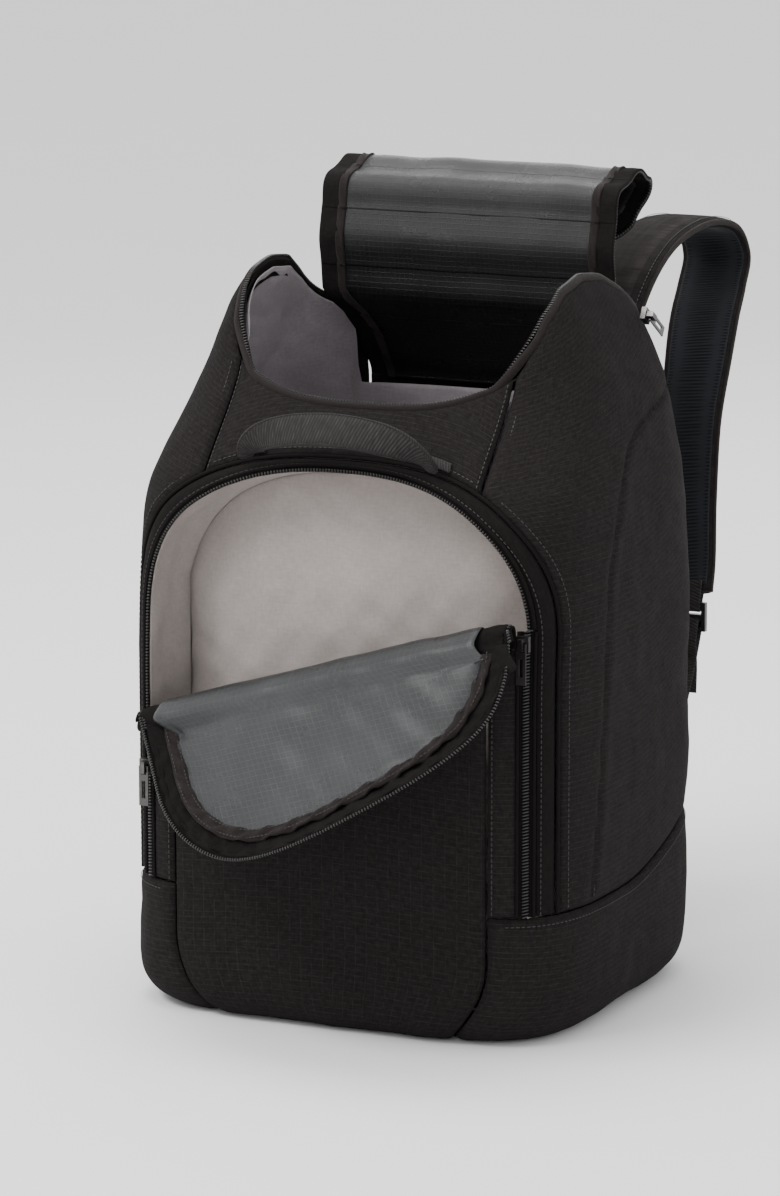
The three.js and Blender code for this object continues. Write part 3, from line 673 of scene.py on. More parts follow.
def side_panels():
    share, step = patch(0, 1, 84, 132)
    low = band_seam(side_at(share[:, 0], 140.0)[:, 1]) + GAP
    z = mix(low[:, None], side_rim(share[:, 0])[:, None], step)
    p, n = on(side_at, share, z)
    seam = spline(SIDE_SEAM, 160)
    shares = np.array([side_share(y, zz) for y, zz in seam])
    line, line_n = on(side_at, shares, seam[:, 1])
    line, line_n = resample(line, 2.5, line_n)
    away = away_from(p, line)
    extra = -2.4 * np.exp(-((away / 2.2) ** 2)) + 0.9 * np.exp(-(((away - 9) / 7) ** 2))
    topstitch = line + unit(np.cross(unit(np.gradient(line, axis=0)), line_n)) * 4
    front_z = np.linspace(z[0, 0] + 4, z[0, -1] - 4, 60)
    front_line, front_n = on(side_at, np.full(60, 0.022), front_z, 0.6)
    for word, sign in SIDES:
        turn = (lambda q: q) if sign == 1 else (lambda q: mirrored(q)[::-1])
        sew(f"side_{word}", turn(p), turn(n), SHELL, "shell_fabric", f"side_panel_{word}", puff=2.2, wrinkle=1.1,
            wave=95, extra=extra if sign == 1 else extra[::-1])
        put(stitches(f"side_seam_stitches_{word}", turn(topstitch + line_n * 0.9), turn(line_n), THREAD),
            "bag", "shell_fabric")
        put(stitches(f"side_front_stitches_{word}", turn(front_line + front_n * 0.2), turn(front_n), THREAD),
            "bag", "shell_fabric")


def front_panel():
    x, step = patch(-PANEL_SEAM_X + GAP, PANEL_SEAM_X - GAP, 90, 26)
    z = mix(arch_height(SEAM_ARCH, x) + GAP, front_rim(x), step)
    p, n = on(front_at, x, z)
    sew("front_panel_cloth", p, n, SHELL, "shell_fabric", "front_panel", puff=1.4, wrinkle=1.0, wave=80)
    xs = np.linspace(-108, 108, 90)
    seam("front_panel_stitches", front_at, xs, arch_height(SEAM_ARCH, xs) + 5, 1.0)
    row_x = PANEL_SEAM_X - 4.0
    zs = np.linspace(arch_height(SEAM_ARCH, row_x) + 4, front_rim(row_x) - 4, 40)
    for word, sign in SIDES:
        seam(f"front_edge_stitches_{word}", front_at, np.full(40, sign * row_x), zs, 0.7)


def back_panel():
    share, step = patch(1, -1, 80, 90)
    z = mix(band_seam(BACK_DEPTH) + GAP, BACK_TOP, step)
    p, n = on(back_at, share * (back_seam(z) - GAP), z, 0, -1)
    sew("back_panel_cloth", p, n, SHELL, "shell_fabric", "back_panel", puff=1.2, wrinkle=1.0, wave=90)


def centre_edge(z):
    """Half width of the centre panel. Its bottom corners are rounded."""
    return CENTRE_PANEL_X - 34 * ramp(66 - z, 0, 66) ** 2


def lower_band():
    share, step = patch(0, 1, 260, 44)
    edge = front_at(CENTRE_PANEL_X + GAP, 60.0, 0)
    start = math.atan2(edge[1], edge[0])
    rough = mix(start, math.pi - start, share)
    top = unclimb(band_seam(round_at(rough, 120.0, 0)[..., 1]) - GAP)
    h = mix(1.5, top, step)
    corner = front_at(centre_edge(climb(h)) + GAP, climb(h), 0)
    start = np.arctan2(corner[..., 1], corner[..., 0])
    angle = mix(start, math.pi - start, share)

    def surface(a, b):
        return round_at(a, climb(b), 0)

    p, n = on(surface, angle, h)
    sew("lower_band_cloth", p, n, SHELL, "shell_fabric", "lower_band", "base_edge", puff=2.0, wrinkle=1.0, wave=85)
    row, row_n = p[3:-3, -3], n[3:-3, -3]
    put(stitches("band_stitches", row + row_n * 0.9, row_n, THREAD), "bag", "shell_fabric")
    angle, radius = grid(np.linspace(0, 2 * math.pi, 120), np.linspace(0.03, 1, 24))
    disc = round_at(angle, 0.0, 0) * radius[..., None]
    disc[..., 2] = 0.2
    down = np.broadcast_to((0.0, 0.0, -1.0), disc.shape)
    sew("base_cloth", disc, down, SHELL, "shell_fabric", "base_panel", puff=0, pinch=0, wrinkle=0)


# ---- pocket

def pocket_front():
    x, step = patch(-1, 1, 100, 116)
    h = mix(1.5, unclimb(fold_height(x * CENTRE_PANEL_X) - 8), step)
    x = x * (centre_edge(climb(h)) - GAP)

    def surface(a, b):
        return pocket_at(a, climb(b))

    p, n = on(surface, x, h)
    sew("centre_panel_cloth", p, n, CENTRE, "ripstop", "pocket_centre_panel", puff=2.6, wrinkle=1.5, wave=95)
    for word, sign in SIDES:
        top = fold_height(sign * 145) - 8
        inner = CENTRE_PANEL_X + GAP
        outer = ZIP_ARCH[0] - 5
        xs, step = grid(np.sort(sign * np.linspace(inner, outer, 10)), np.linspace(0, 1, 70))
        p, n = on(pocket_at, xs, mix(LEG_FOOT, top, step))
        sew(f"strip_{word}", p, n, SHELL, "shell_fabric", f"pocket_strip_{word}", puff=1.3, wrinkle=0.7)
        zs = np.linspace(LEG_FOOT + 3, top - 3, 70)
        seam(f"strip_stitches_{word}", pocket_at, np.full(70, sign * (inner + 3.0)), zs, 0.8)


def gusset():
    arch = (166.5, 310, 128, 2.4)
    xi, zi = arch_line(arch, 0, LEG_FOOT, LEG_FOOT, 320)
    xo, zo = arch_line(SEAM_ARCH, GAP, LEG_FOOT, LEG_FOOT, 320)
    v = np.linspace(0, 1, 9)
    x = mix(xi[:, None], xo[:, None], v)[::-1]
    z = mix(zi[:, None], zo[:, None], v)[::-1]
    p, n = on(pocket_at, x, z)
    sew("gusset_cloth", p, n, PLAIN, "shell_fabric", "pocket_gusset", puff=1.2, wrinkle=0.7, wave=45)
    x, z = arch_line(arch, -2.5, LEG_FOOT + 2, LEG_FOOT + 2, 300)
    seam("gusset_stitches", pocket_at, x, z, 0.4)
    x, z = arch_line(SEAM_ARCH, -0.2, LEG_FOOT, LEG_FOOT, 300)
    row, row_n = on(front_at, x, z, -0.8)
    put(tube("gusset_seam", row, row_n, 3.2, 3.0, PLAIN), "bag", "shell_fabric")


def zip_legs():
    for (word, sign), fold in zip(SIDES, (FOLD_RIGHT, FOLD_LEFT)):
        z = np.linspace(LEG_FOOT, fold[2] - 6, 120)
        path, n = on(pocket_at, np.full(120, sign * float(ZIP_ARCH[0])), z, -1.4)
        put(tape(f"leg_tape_{word}", path, n, 13, 1.4, TAPE, ruffle=0.08), "bag", "zip", f"pocket_zip_{word}")
        put(coil(f"leg_coil_{word}", path + n * 1.0, n, TEETH, reach=3.0), "bag", "zip")
        _, side, up = frames(path, n)
        for k, shift in enumerate((-6.7, 6.7)):
            put(tube(f"leg_edge_{word}_{k}", path + side * shift + up * 1.1, n, 2.6, 2.4, PLAIN), "bag", "zip")


def pocket_arch():
    x, z = arch_line(ZIP_ARCH, 0, FOLD_RIGHT[2] - 5, FOLD_LEFT[2] - 5, 420)
    path, n = on(pocket_at, x, z, -0.8)
    band = tape("arch_tape", path, n, 6.4, 1.3, TAPE, shift=4.0, ruffle=0.12)
    put(band, "bag", "zip", "pocket_zip_arch")
    _, side, up = frames(path, n)
    put(coil("arch_coil", path + up * 0.9, n, TEETH, reach=1.4, shift=1.6), "bag", "zip")
    put(tube("arch_piping", path + side * 6.2 + up * 1.0, n, 2.8, 2.6, PLAIN), "bag", "zip")


def pocket_inside():
    foot = 60
    x, z = arch_line(ZIP_ARCH, -1.5, foot, foot, 220)
    front, _ = on(pocket_at, x, z, -3.2)
    ax, az = arch_line((150, 310, 118, 2.4), 0, foot, foot, 220)
    back = front_at(ax, az, 1, 1)
    v = np.linspace(0, 1, 26)[None, :, None]
    p = mix(front[:, None], back[:, None], v)
    bulge = 5 * np.sin(np.pi * v[..., 0])
    sew("pocket_wall_lining", p, grid_normals(p), POCKET_LINING, "pocket_lining", thick=LINING_THICK, puff=0.5,
        pinch=0.6, wrinkle=2.2, wave=55, extra=-bulge)
    x, step = patch(-152, 152, 90, 100)
    z = mix(float(foot), arch_height((153, 310, 120, 2.4), x), step)
    p, n = on(lambda a, b: front_at(a, b, 1, 1), x, z)
    sew("pocket_back_lining", p, n, POCKET_LINING, "pocket_lining", "pocket_divider", thick=LINING_THICK, puff=3.0,
        pinch=0.4, wrinkle=3.4, wave=95)


# ---- main compartment

def liner_top(angle):
    """Height of the lining's top edge, a little under the rim, which it finds by steps."""
    top = np.full_like(angle, 520.0)
    for _ in range(12):
        place = round_at(angle, top, 1, LINER_INSET)
        x, y = place[..., 0], place[..., 1]
        side = np.interp(y, RIM[:, 0], RIM[:, 1])
        side = np.where((np.abs(x) < MOUTH_HALF) & (y > 0), BACK_TOP, side)
        top = mix(top, np.where((np.abs(x) < MOUTH_HALF - 2) & (y < 0), front_rim(x), side), 0.6)
    return top - 7 - 9 * np.exp(-(((y + 92) / 20) ** 2))


def main_lining():
    start = math.pi / 2
    turn, step = patch(start + 2 * math.pi - 0.005, start + 0.005, 300, 120)
    p = round_at(turn, mix(12.0, liner_top(turn[:, 0])[:, None], step), 1, LINER_INSET)
    sew("compartment_lining_cloth", p, grid_normals(p), LINING, "lining", "main_liner", thick=LINING_THICK,
        puff=0.6, pinch=0.3, wrinkle=2.4, wave=75)
    angle, radius = grid(np.linspace(2 * math.pi, 0, 120), np.linspace(0.03, 1, 30))
    disc = round_at(angle, 28.0, 1, 11) * radius[..., None]
    disc[..., 2] = 9.5
    up = np.broadcast_to((0.0, 0.0, 1.0), disc.shape)
    sew("compartment_floor", disc, up, BOARD_CLOTH, "lining", thick=1.2, puff=0.4, pinch=0, wrinkle=0.6)


def rim_path(inset):
    """The rim of the opening from the left back corner round the front to the right back corner."""
    def side(sign, ys):
        z = np.interp(ys, RIM[:, 0], RIM[:, 1])
        a, front, back, power = section(z, wall_share(z), inset)
        b = np.where(ys < 0, front, back)
        x = sign * a * np.clip(1 - np.abs(ys / b) ** power, 0, 1) ** (1 / power)
        return point(x, ys, z)

    ys = np.linspace(104, -92, 30)
    xs = np.linspace(-104, 104, 26)
    front = front_at(xs, front_rim(xs), None, inset)
    path = np.concatenate([side(-1, ys), front, side(1, ys[::-1])])
    path, = resample(spline(path, 700), 2.5)
    for _ in range(6):
        path[1:-1] = (path[:-2] + 2 * path[1:-1] + path[2:]) / 4
    return path


def rim():
    def outward(path):
        return unit(path * np.array([1, 1.25, 0]) - np.array([0, -10, 0]))

    path = rim_path(1.6)
    binding = tube("rim_binding", path - point(0, 0, 1.5), outward(path), 7.5, 5.2, BINDING, around=12)
    put(binding, "bag", "zip", "rim_zip")
    inner = rim_path(4.4) - point(0, 0, 8.0)
    put(tape("rim_tape", inner, outward(inner), 13, 1.2, TAPE, ruffle=0.12), "bag", "zip")
    top = rim_path(3.6) + point(0, 0, 2.2)
    up = np.broadcast_to((0.0, 0.0, 1.0), top.shape)
    put(coil("rim_coil", top, up, TEETH), "bag", "zip")
    edge = rim_path(-0.2)
    low, low_n = resample(edge - point(0, 0, 8.5), 3, unit(edge * np.array([1, 1.25, 0])))
    put(stitches("rim_stitches", low, low_n, THREAD), "bag", "zip")


# ---- flap

FOLD_AXIS = unit(FOLD_RIGHT - FOLD_LEFT)


def folded(p):
    """Points of the closed flap, turned down about the fold line."""
    q = p - FOLD_RIGHT
    cos, sin = math.cos(FOLD_ANGLE), math.sin(FOLD_ANGLE)
    along = (q @ FOLD_AXIS)[..., None] * FOLD_AXIS
    return q * cos + np.cross(np.broadcast_to(FOLD_AXIS, q.shape), q) * sin + along * (1 - cos) + FOLD_RIGHT


def flap_at(x, z, lift=0.0):
    """A point of the open flap from its closed place, lifted towards its lined side."""
    n = normals_of(pocket_at, x, z)
    return folded(pocket_at(x, z) - n * np.asarray(lift)[..., None])


def fold_profile(x, offsets):
    """Points beside the fold line at x, each offset in y and z."""
    share = (x - FOLD_LEFT[0]) / (FOLD_RIGHT[0] - FOLD_LEFT[0])
    axis = FOLD_LEFT + (FOLD_RIGHT - FOLD_LEFT) * share[:, None]
    return np.stack([axis + np.array([0.0, dy, dz]) for dy, dz in offsets])


def bend_flap(obj, slot, *replaced):
    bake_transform(obj)
    if replaced:
        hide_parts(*replaced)


def arch_inside(inset):
    half, spring, rise, power = ZIP_ARCH
    return half - inset, spring, rise - inset, power


def flap_lining():
    x = np.linspace(132, -138, 100)
    arch = arch_inside(23)
    share = np.linspace(0, 1, 9)
    z = mix(fold_height(x) + 30, np.maximum(arch_height(arch, x), fold_height(x) + 32), share[:, None])
    crown = 12 * (1 - share[:, None] ** 1.7) * (1 - np.abs(x / 144) ** 6) * np.ones_like(z)
    main = np.stack([flap_at(x, z[k], 5 + crown[k]) for k in range(len(share))])
    roll = fold_profile(x, [(3, -34), (3, -14), (0.5, 2), (-7, 8), (-16, 5.5), (-24, -3.5)])
    p = spline(np.concatenate([roll, main]), 120).transpose(1, 0, 2)
    liner = cloth("flap_lining_cloth", p, grid_normals(p), FLAP_COAT, thick=1.0, puff=0.6, pinch=0.8,
                  wrinkle=1.7, wave=110)
    bend_flap(liner, "grey_tarpaulin", "flap_lining")


def flap_edge():
    feet = (FOLD_RIGHT[2] + FOLD_GAP + 2, FOLD_LEFT[2] + FOLD_GAP + 2)
    count = 360
    outer = arch_line(ZIP_ARCH, 4, *feet, count)
    inner = arch_line(ZIP_ARCH, 25, *feet, count)
    v = np.linspace(0, 1, 14)
    x = mix(outer[0][:, None], inner[0][:, None], v)
    z = mix(outer[1][:, None], inner[1][:, None], v)
    p = flap_at(x, z, 3.0 + 2.2 * v * np.ones_like(x))[::-1]
    at = length_along(p[:, 0])[:, None]
    ruffle = 1.1 * np.sin(at / 4.1 + 3 * v) * np.sin(at / 11 + 1) * (1 - v * 0.4)
    band = cloth("flap_band", p, grid_normals(p), PLAIN, thick=1.0, puff=0.8, pinch=0.8, wrinkle=1.4, wave=22,
                 extra=ruffle)
    put(band, "pocket_flap", "ripstop")
    x, z = arch_line(ZIP_ARCH, 21.5, *feet, count)
    path = flap_at(x, z, np.full_like(x, 7.0))
    face = unit(flap_at(x, z, np.full_like(x, 9.0)) - path)
    binding = tape("flap_binding", path, face, 11.0, 2.2, BINDING, ruffle=1.25, crown=1.2)
    put(binding, "pocket_flap", "grey_tarpaulin")
    _, side, up = frames(path, face)
    for k, s in enumerate((-3.4, 3.4)):
        row = stitches(f"flap_binding_stitches_{k}", path + side * s + up * 2.1, face, THREAD, pitch=3.6)
        put(row, "pocket_flap", "grey_tarpaulin")


def flap_zip():
    feet = (FOLD_RIGHT[2] + FOLD_GAP - 4, FOLD_LEFT[2] + FOLD_GAP - 4)
    x, z = arch_line(ZIP_ARCH, 4.8, *feet, 420)
    path = flap_at(x, z, np.full_like(x, 1.6))
    face = unit(flap_at(x, z, np.full_like(x, 4.0)) - path)
    put(tape("flap_tape", path, face, 7.4, 1.4, TAPE, ruffle=0.15), "pocket_flap", "zip", "flap_zip")
    _, side, up = frames(path, face)
    out = side if (side[0] @ (path[0] - path[200])) > 0 else -side
    put(coil("flap_coil", path + out * 3.2 + up * 0.8, face, TEETH, reach=1.5), "pocket_flap", "zip")
    put(tube("flap_piping", path - out * 3.6 + up * 1.2, face, 2.8, 2.6, PLAIN), "pocket_flap", "zip")


def flap_shoulders():
    """The ends of the band and of the zip, where they turn over the fold."""
    cloth_roll = [(1.5, -30), (1.5, -12), (-1.5, 1.5), (-7.5, 5.5), (-13.5, 1.5), (-17, -8)]
    zip_roll = [(-1.5, -16), (-2.0, -7), (-4.0, 0.5), (-8.5, 2.5), (-13, -2.5)]
    ends = (("right", (153, 124), 154.5), ("left", (-130, -156), -156.0))
    for word, span, edge in ends:
        xs = np.linspace(*span, 24)
        main = np.stack([flap_at(xs, fold_height(xs) + up, np.full_like(xs, lift))
                         for up, lift in ((22, 6.0), (30, 5.4), (38, 3.4), (46, 0.8))])
        p = spline(np.concatenate([fold_profile(xs, cloth_roll), main]), 60).transpose(1, 0, 2)
        piece = cloth(f"flap_shoulder_{word}", p, grid_normals(p), PLAIN, thick=1.0, puff=0.8, pinch=0.8,
                      wrinkle=0.9, wave=20)
        bend_flap(piece, "ripstop")
        xs = np.array([edge])
        above = [flap_at(xs, fold_height(xs) + up, np.full(1, 1.6))[None] for up in (11, 20)]
        line = spline(np.concatenate([fold_profile(xs, zip_roll), *above])[:, 0], 50)
        out = square_to(line)
        out = out * np.sign(out[len(out) // 2, 2])
        bend_flap(tape(f"fold_tape_{word}", line, out, 6, 1.4, TAPE, ruffle=0.1), "zip")
        bend_flap(coil(f"fold_coil_{word}", line + out * 0.9, out, TEETH, reach=1.4), "zip")


def flap_outside():
    x, step = patch(-152.4, 147.6, 90, 70)
    p = flap_at(x, mix(fold_height(x) + FOLD_GAP, arch_height(arch_inside(6.8), x), step))
    outer = cloth("flap_cloth", p, grid_normals(p), CENTRE, puff=0.8, pinch=1.4, wrinkle=0.8, wave=70)
    put(outer, "pocket_flap", "ripstop", "flap_panel")
    x = np.linspace(-150, 146, 90)
    offsets = [(-2, -8), (-2.5, -1), (-4.5, 1.5), (-6.8, -1), (-8, -6), (-7.2, -13.3)]
    p = spline(fold_profile(x, offsets), 26).transpose(1, 0, 2)
    fold = cloth("flap_fold_cloth", p, grid_normals(p), CENTRE, thick=0.8, puff=0.1, pinch=0.1, wrinkle=0.15,
                 wave=40)
    bend_flap(fold, "ripstop")


# ---- lid

LID_STATIONS = [0, 44, 90, 136, 182, 226, 262, 304, 346]
LID_WIDTHS = np.array([  # half widths, at distances from the hinge edge
    (0, 111), (44, 110), (70, 116), (94, 128), (250, 128), (296, 116), (325, 96), (346, 58),
], float)
LID_JOINTS = np.array([
    (129, 466), (102.2, 500.3), (73.3, 536), (66.1, 581.7), (76.2, 625.6), (118.4, 639.3), (150.6, 624.2),
    (126.6, 590), (89.5, 580),
], float)
LID_REACH = 20.0
LID_LAP = 2.0  # each strip runs this far under the next
LID_LAST = 8
LID_EDGE = 17  # width of the band along each side


def lid_angles():
    step = np.diff(LID_JOINTS, axis=0)
    return np.concatenate([[math.pi / 2], np.arctan2(step[:, 1], step[:, 0])])


def bent(s, depth, turn):
    end = LID_REACH * np.array([1 + math.cos(turn), math.sin(turn)])
    share = np.where(s < 0, 0.2, 0.8) * np.ones_like(depth + s)
    for _ in range(60):
        w = share * share * (3 - 2 * share)
        u = s * np.cos(w * turn) - depth * np.sin(w * turn)
        v = s * np.sin(w * turn) + depth * np.cos(w * turn)
        t = np.clip(((u + LID_REACH) * end[0] + v * end[1]) / (end @ end), 0, 1)
        share = mix(share, t, 0.5)
    return u, v


def lid_ranges():
    """For each strip: its number, and how far it goes before and after its joint.
    The last has no joint of its own and is measured from the one before it."""
    lengths = np.linalg.norm(np.diff(LID_JOINTS, axis=0), axis=1)
    spans = [(0, -6.0, lengths[0] / 2 + LID_LAP)]
    spans += [(k, -lengths[k - 1] / 2, lengths[k] / 2 + LID_LAP) for k in range(1, LID_LAST)]
    return [*spans, (LID_LAST, lengths[-1] / 2, lengths[-1] + 2)]


def lid_place(k, s, x, depth):
    """A point of strip k at a distance s past its joint, at x across it, on its lined side at a depth."""
    angles = lid_angles()
    if k == LID_LAST:  # stiff, and measured from the last hinge
        joint, angle, u, v = LID_JOINTS[k - 1], angles[k], s, depth
    else:
        turn = (angles[k + 1] - angles[k] + math.pi) % (2 * math.pi) - math.pi
        joint, angle = LID_JOINTS[k], angles[k]
        u, v = bent(s, depth, turn)
    cos, sin = math.cos(angle), math.sin(angle)
    return point(x, joint[0] + u * cos - v * sin, joint[1] + u * sin + v * cos)


def lid_strip(k, low, high):
    """The pieces of strip k with their slots, the two sheets first, and the mean width of the sheets."""
    def place(s, x, depth):
        return lid_place(k, s, x, depth)

    def half_at(s):
        return np.interp(s + base, LID_WIDTHS[:, 0], LID_WIDTHS[:, 1])

    base = LID_STATIONS[min(k, LID_LAST - 1)]
    s = np.linspace(low, high, 30)
    sink = 0.15 * ramp(s, high - LID_LAP, high) if k < LID_LAST else 0 * s
    half = half_at(s)
    across, run = grid(np.linspace(1, -1, 64), s)
    width = half[None, :] - 14
    x, station = across * width, run + base
    wave = 0.8 * ripples(point(x, station, 0 * run), 60) * (1 - across**8)
    crown = 1.6 * (1 - across**4)
    p = place(run, x, 1.4 + wave + crown - sink)
    made = [(sheet_of(f"lid_tarp_{k}", p, LID_COAT, 1.2, x, station), "tarpaulin")]
    x = across[::-1] * width
    p = place(run, x, -1.4 + wave[::-1] * 0.6 + sink)
    made.append((sheet_of(f"lid_cloth_{k}", p, SHELL, 1.0, x, station), "tarpaulin"))
    for word, sign in SIDES:
        gap, run = grid(np.linspace(1, 0, 8) if sign == 1 else np.linspace(0, 1, 8), s)
        x = sign * (half[None, :] - LID_EDGE * (1 - gap))
        ruffle = 0.5 * np.sin((run + base) / 3.7 + gap * 4) * (1 - gap)
        p = place(run, x, 1.2 + ruffle - sink)
        made.append((sheet_of(f"lid_edge_{word}_{k}", p, PLAIN, 2.4, x, run + base), "zip"))
        x = sign * (half - LID_EDGE - 1)
        path = place(s, x, 3.4 + 0 * s)
        face = unit(place(s, x, 5.0 + 0 * s) - path)
        made.append((tape(f"lid_binding_{word}_{k}", path, face, 7, 1.8, BINDING, ruffle=0.4), "tarpaulin"))
        fine = np.linspace(low, high, 40)
        x = sign * (half_at(fine) - 1.8)
        path = place(fine, x, 1.2 + 0 * fine)
        face = unit(place(fine, x, 3.0 + 0 * fine) - path)
        made.append((coil(f"lid_coil_{word}_{k}", path, face, TEETH), "zip"))
    return made, 2 * width.mean()


def lid():
    for k, low, high in lid_ranges():
        made, width = lid_strip(k, low, high)
        for number, (obj, slot) in enumerate(made):
            if number == 0 and k:
                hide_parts(f"lid_panel_{k}")
            if k == LID_LAST:
                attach(obj, f"lid_{k}")
                continue
            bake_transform(obj)


def sheet_of(name, p, material, thick, u, v):
    """A closed sheet from a grid of points, thick away from its normals, with given cloth coordinates."""
    n = grid_normals(p)
    verts = np.concatenate([p.reshape(-1, 3), (p - n * thick).reshape(-1, 3)])
    uv = np.stack([u, v], -1).reshape(-1, 2)
    faces = shell_faces(*p.shape[:2])
    obj = build(name, verts, faces, material, np.concatenate([uv, uv]))
    flat = 2 * (p.shape[0] - 1) * (p.shape[1] - 1)
    obj.data.polygons.foreach_set("use_smooth", np.arange(len(faces)) < flat)
    return obj


# ---- handle, straps and back

HANDLE_HALF = 78
HANDLE_WIDTH = 27


def handle():
    t = np.linspace(math.pi, 0, 90)
    path = point(HANDLE_HALF * np.cos(t), -176 - 19 * np.sin(t), 443 + 29 * np.sin(t))
    stand = np.sin(t)[:, None].clip(0, 1) ** 1.5
    across = unit(mix(point(0.75 * np.cos(t), -0.6 + 0 * t, 0.35 + 0 * t), np.array([0, 0.5, 0.86]), stand))
    normal = unit(np.cross(unit(np.gradient(path, axis=0)), across))
    width = mix(11, HANDLE_WIDTH, np.sin(t).clip(0, 1) ** 0.9)
    webbing = tape("handle_webbing", path, normal, width, 2.6, WEBBING, crown=1.2)
    put(webbing, "grab_handle", "webbing", "grab_handle")
    _, side, up = frames(path, normal)
    for k, sign in enumerate((-1, 1)):
        row = path + side * (sign * (width / 2 - 1.2))[:, None]
        put(tube(f"handle_edge_{k}", row, normal, 2.6, 3.6, WEBBING), "grab_handle", "webbing")
    for word, sign in SIDES:
        x = np.sort(sign * (HANDLE_HALF + np.linspace(-11, 11, 20)))
        xs, step = grid(x, np.linspace(0, 1, 8))
        z = mix(arch_height(SEAM_ARCH, xs) + 3, arch_height(SEAM_ARCH, xs) + 9, step)
        p, n = on(front_at, xs, z, 2.6)
        sew(f"anchor_{word}", p, n, WEBBING, "webbing", f"handle_anchor_{word}", thick=1.6, puff=0.3, pinch=0.4,
            wrinkle=0)


STRAP_ROUTE = [
    (71, 158, 462), (72, 180, 503), (73, 220, 541), (74, 272, 564), (78, 335, 572), (82, 386, 562), (86, 401, 536),
    (90, 379, 512), (97, 345, 490), (104, 313, 458), (110, 282, 412), (119, 258, 352), (129, 237, 304),
    (134, 221, 280),
]


WING_X = 132
WEB_WIDTH = 24
WEB_THICK = 1.5
LOCK_LOOP = [(0, 4, 14), (0, 1, 2), (0, -3.5, -8), (0, -6, -13.4), (0, -8.6, -10), (0, -7, 0), (0, -4, 12)]


def strap_body(name, path, width, thick, material, lift=0.0):
    """A padded band on a path, its width along X."""
    t = unit(np.gradient(path, axis=0))
    side = unit(np.array([1.0, 0, 0]) - t * t[:, :1])
    up = np.cross(side, t)
    angle = np.linspace(0, 2 * math.pi, 36, endpoint=False)
    c, s = np.cos(angle), np.sin(angle)
    flat = np.sign(c) * np.abs(c) ** 0.5
    tall = np.sign(s) * np.abs(s) ** 0.75
    rings = (path[:, None] + side[:, None] * (flat[None, :, None] * (width / 2)[:, None, None])
             + up[:, None] * ((tall * thick / 2)[None, :, None] + lift))
    return loft(name, rings, material), side, up


def straps():
    route = spline(STRAP_ROUTE, 160)
    at = np.linspace(0, 13, 160)
    width = mix(60, 40, ease(at, 8, 13))
    for word, sign in SIDES:
        path = route * np.array([sign, 1, 1])
        body = f"shoulder_strap_{word}"
        core, side, up = strap_body(f"strap_{word}", path, width - 2, 9.6, SHELL)
        put(core, body, "foam", body)
        inner, _, _ = strap_body(f"strap_mesh_{word}", path[2:-2], (width - 9)[2:-2], 3.0, MESH, lift=-4.2)
        put(inner, body, "foam")
        for k, s in enumerate((-1, 1)):
            edge = path + side * (s * (width / 2 - 1.4))[:, None]
            put(tube(f"strap_edge_{word}_{k}", edge, up, 3.4, 5.4, BINDING), body, "foam")
            row = path + side * (s * (width / 2 - 6))[:, None] + up * 4.5
            put(stitches(f"strap_stitches_{word}_{k}", row[3:-3], up[3:-3], THREAD), body, "foam")
        tip = path[-1]
        loop = spline(tip + np.array(LOCK_LOOP), 40)
        out = unit(np.cross(np.array([float(sign), 0, 0]), unit(np.gradient(loop, axis=0))))
        put(tape(f"lock_webbing_{word}", loop, out, WEB_WIDTH + 1, WEB_THICK, WEBBING), body, "webbing")
        low = back_at(sign * float(WING_X), 128.0) + (0, 4, 8)
        high = np.array([tip[0], 196.0, 208.0])
        middle = mix(low, high, 0.5) + (0, 6, 0)
        lock = tip + (0, -6, -23)
        lower = spline(np.array([low + (0, -2, -14), low, middle, high, lock + (0, 3, -9), lock + (0, 4.2, 2),
                                 lock + (0, 0.5, 5), lock + (0, -4, 1), lock + (0, -9, -14)]), 90)
        web = tape(f"lower_web_{word}", lower, square_to(lower), WEB_WIDTH, WEB_THICK, WEBBING)
        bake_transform(web)
        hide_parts(f"lower_webbing_{word}")
        tail = spline(np.array([lock + (0, -9, -14), lock + (0, -6, -34), lock + (0, -7, -58)]), 20)
        put(tape(f"strap_tail_{word}", tail, square_to(tail), WEB_WIDTH, WEB_THICK, WEBBING), body, "webbing")
        xs, zs = grid(np.linspace(sign * WING_X + 20, sign * WING_X - 20, 24), np.linspace(104, 130, 16))
        p, n = on(back_at, xs, zs, 2.4, -1)
        sew(f"wing_{word}", p, n, SHELL, "shell_fabric", f"strap_wing_{word}", thick=2, puff=0.8, wrinkle=0.2)


PAD_PITCH = 49  # from groove to groove


def back_pads():
    pads = (("right", 98, 14, 228, 424, "back_pad_right"), ("left", -14, -98, 228, 424, "back_pad_left"),
            ("lumbar", 112, -112, 200, 222, "lumbar_pad"))
    for word, x0, x1, z0, z1, node in pads:
        xs, zs = grid(np.linspace(x0, x1, 56), np.linspace(z0, z1, 90))
        p, n = on(back_at, xs, zs, 2.0, -1)
        near, _, v = edge_distance(p)
        off = PAD_PITCH / 2 - np.abs((v % PAD_PITCH) - PAD_PITCH / 2)
        groove = -2.4 * np.exp(-((off / 2.4) ** 2)) * (1 - np.exp(-near / 8)) if word != "lumbar" else 0
        pad = cloth(f"pad_{word}", p, n, MESH, thick=1.2, puff=6.0, pinch=1.5, wrinkle=0.4, wave=60, extra=groove)
        put(pad, "bag", "foam", node)
    xs, zs = grid(np.linspace(104, -104, 60), np.linspace(430, 460, 16))
    p, n = on(back_at, xs, zs, 3.4, -1)
    sew("yoke", p, n, SHELL, "webbing", "strap_yoke", thick=3, puff=0.8, wrinkle=0.3)


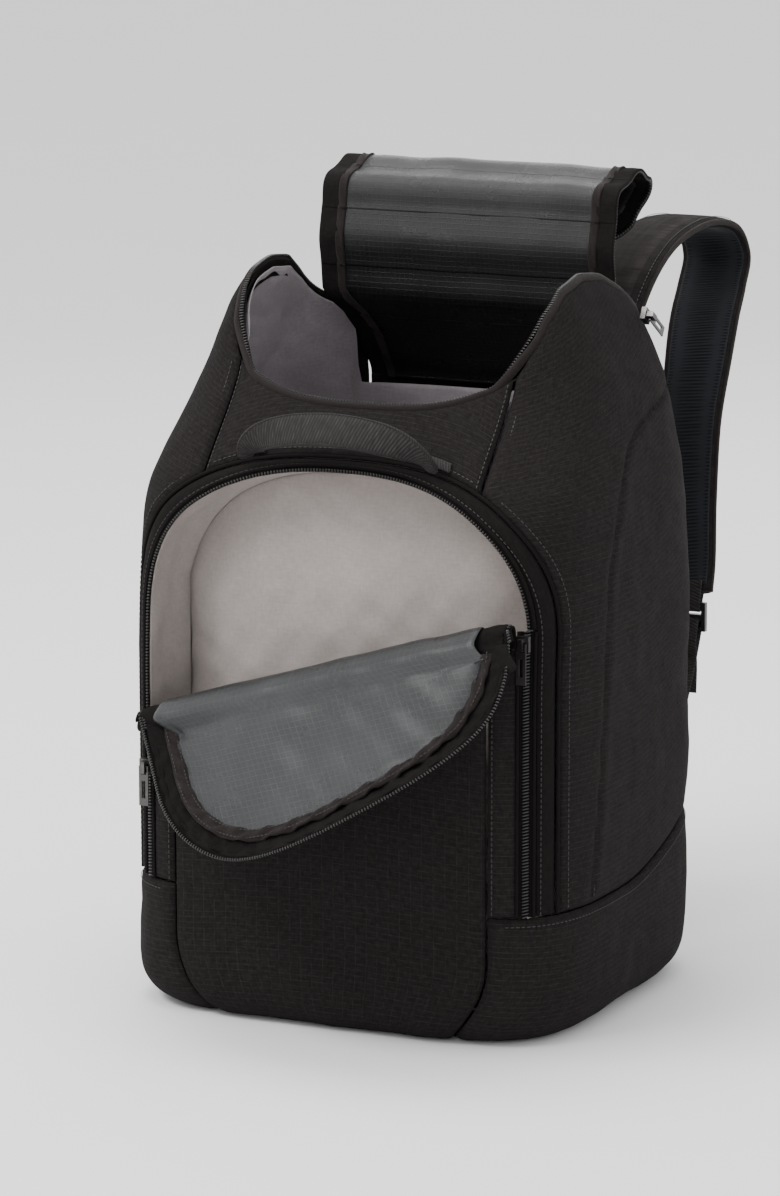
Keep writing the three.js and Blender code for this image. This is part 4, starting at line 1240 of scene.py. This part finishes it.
for make in (side_panels, front_panel, back_panel, lower_band, pocket_front, gusset, zip_legs, pocket_arch,
             pocket_inside, main_lining, rim, flap_lining, flap_edge, flap_zip, flap_shoulders, flap_outside,
             lid, handle, straps, back_pads):
    make()

# ---- stage, light and camera

FLOOR_SIZE = 90
UNDER_BAG = 0.0002
bpy.ops.mesh.primitive_plane_add(size=FLOOR_SIZE, location=(0, 0, -UNDER_BAG))
floor = bpy.context.object
floor.name = "floor"
paper = Look("paper", 0.9)
paper.set(Base_Color=paper.mix(paper.noise(3, 2), (0.86, 0.86, 0.86), (0.89, 0.89, 0.89)))
floor.data.materials.append(paper.mat)

world = bpy.context.scene.world or bpy.data.worlds.new("studio")
bpy.context.scene.world = world
world.use_nodes = True
sky = world.node_tree.nodes["Background"].inputs
sky["Color"].default_value = (1, 1, 1, 1)
sky["Strength"].default_value = 1.35


def aim(obj, target):
    direction = np.array(target) - np.array(obj.location)
    x, y, z = direction / np.linalg.norm(direction)
    obj.rotation_euler = (math.acos(-z), 0, math.atan2(-x, y))


def light(name, place, target, size, power):
    data = bpy.data.lights.new(name, "AREA")
    data.shape = "RECTANGLE"
    data.size, data.size_y = size
    data.energy = power
    lamp = bpy.data.objects.new(name, data)
    lamp.location = place
    bpy.context.scene.collection.objects.link(lamp)
    aim(lamp, target)


MIDDLE = (0, 0, 0.3)
UPPER = (0, 0, 0.4)
light("key", (-1.4, -1.9, 2.9), MIDDLE, (1.6, 1.0), 85)
light("side", (2.8, -1.4, 1.2), MIDDLE, (0.8, 2.0), 4)
light("top", (-0.3, 0.1, 2.4), UPPER, (1.4, 1.0), 30)
light("back", (-0.8, 2.6, 1.6), UPPER, (1.6, 1.0), 12)

lens = bpy.data.cameras.new("camera")
lens.lens = 160.6
lens.sensor_width = 36
lens.shift_x = -0.0355
lens.shift_y = 0.0058
camera = bpy.data.objects.new("camera", lens)
camera.location = (1.696, -3.810, 1.156)
bpy.context.scene.collection.objects.link(camera)
aim(camera, MIDDLE)
bpy.context.scene.camera = camera
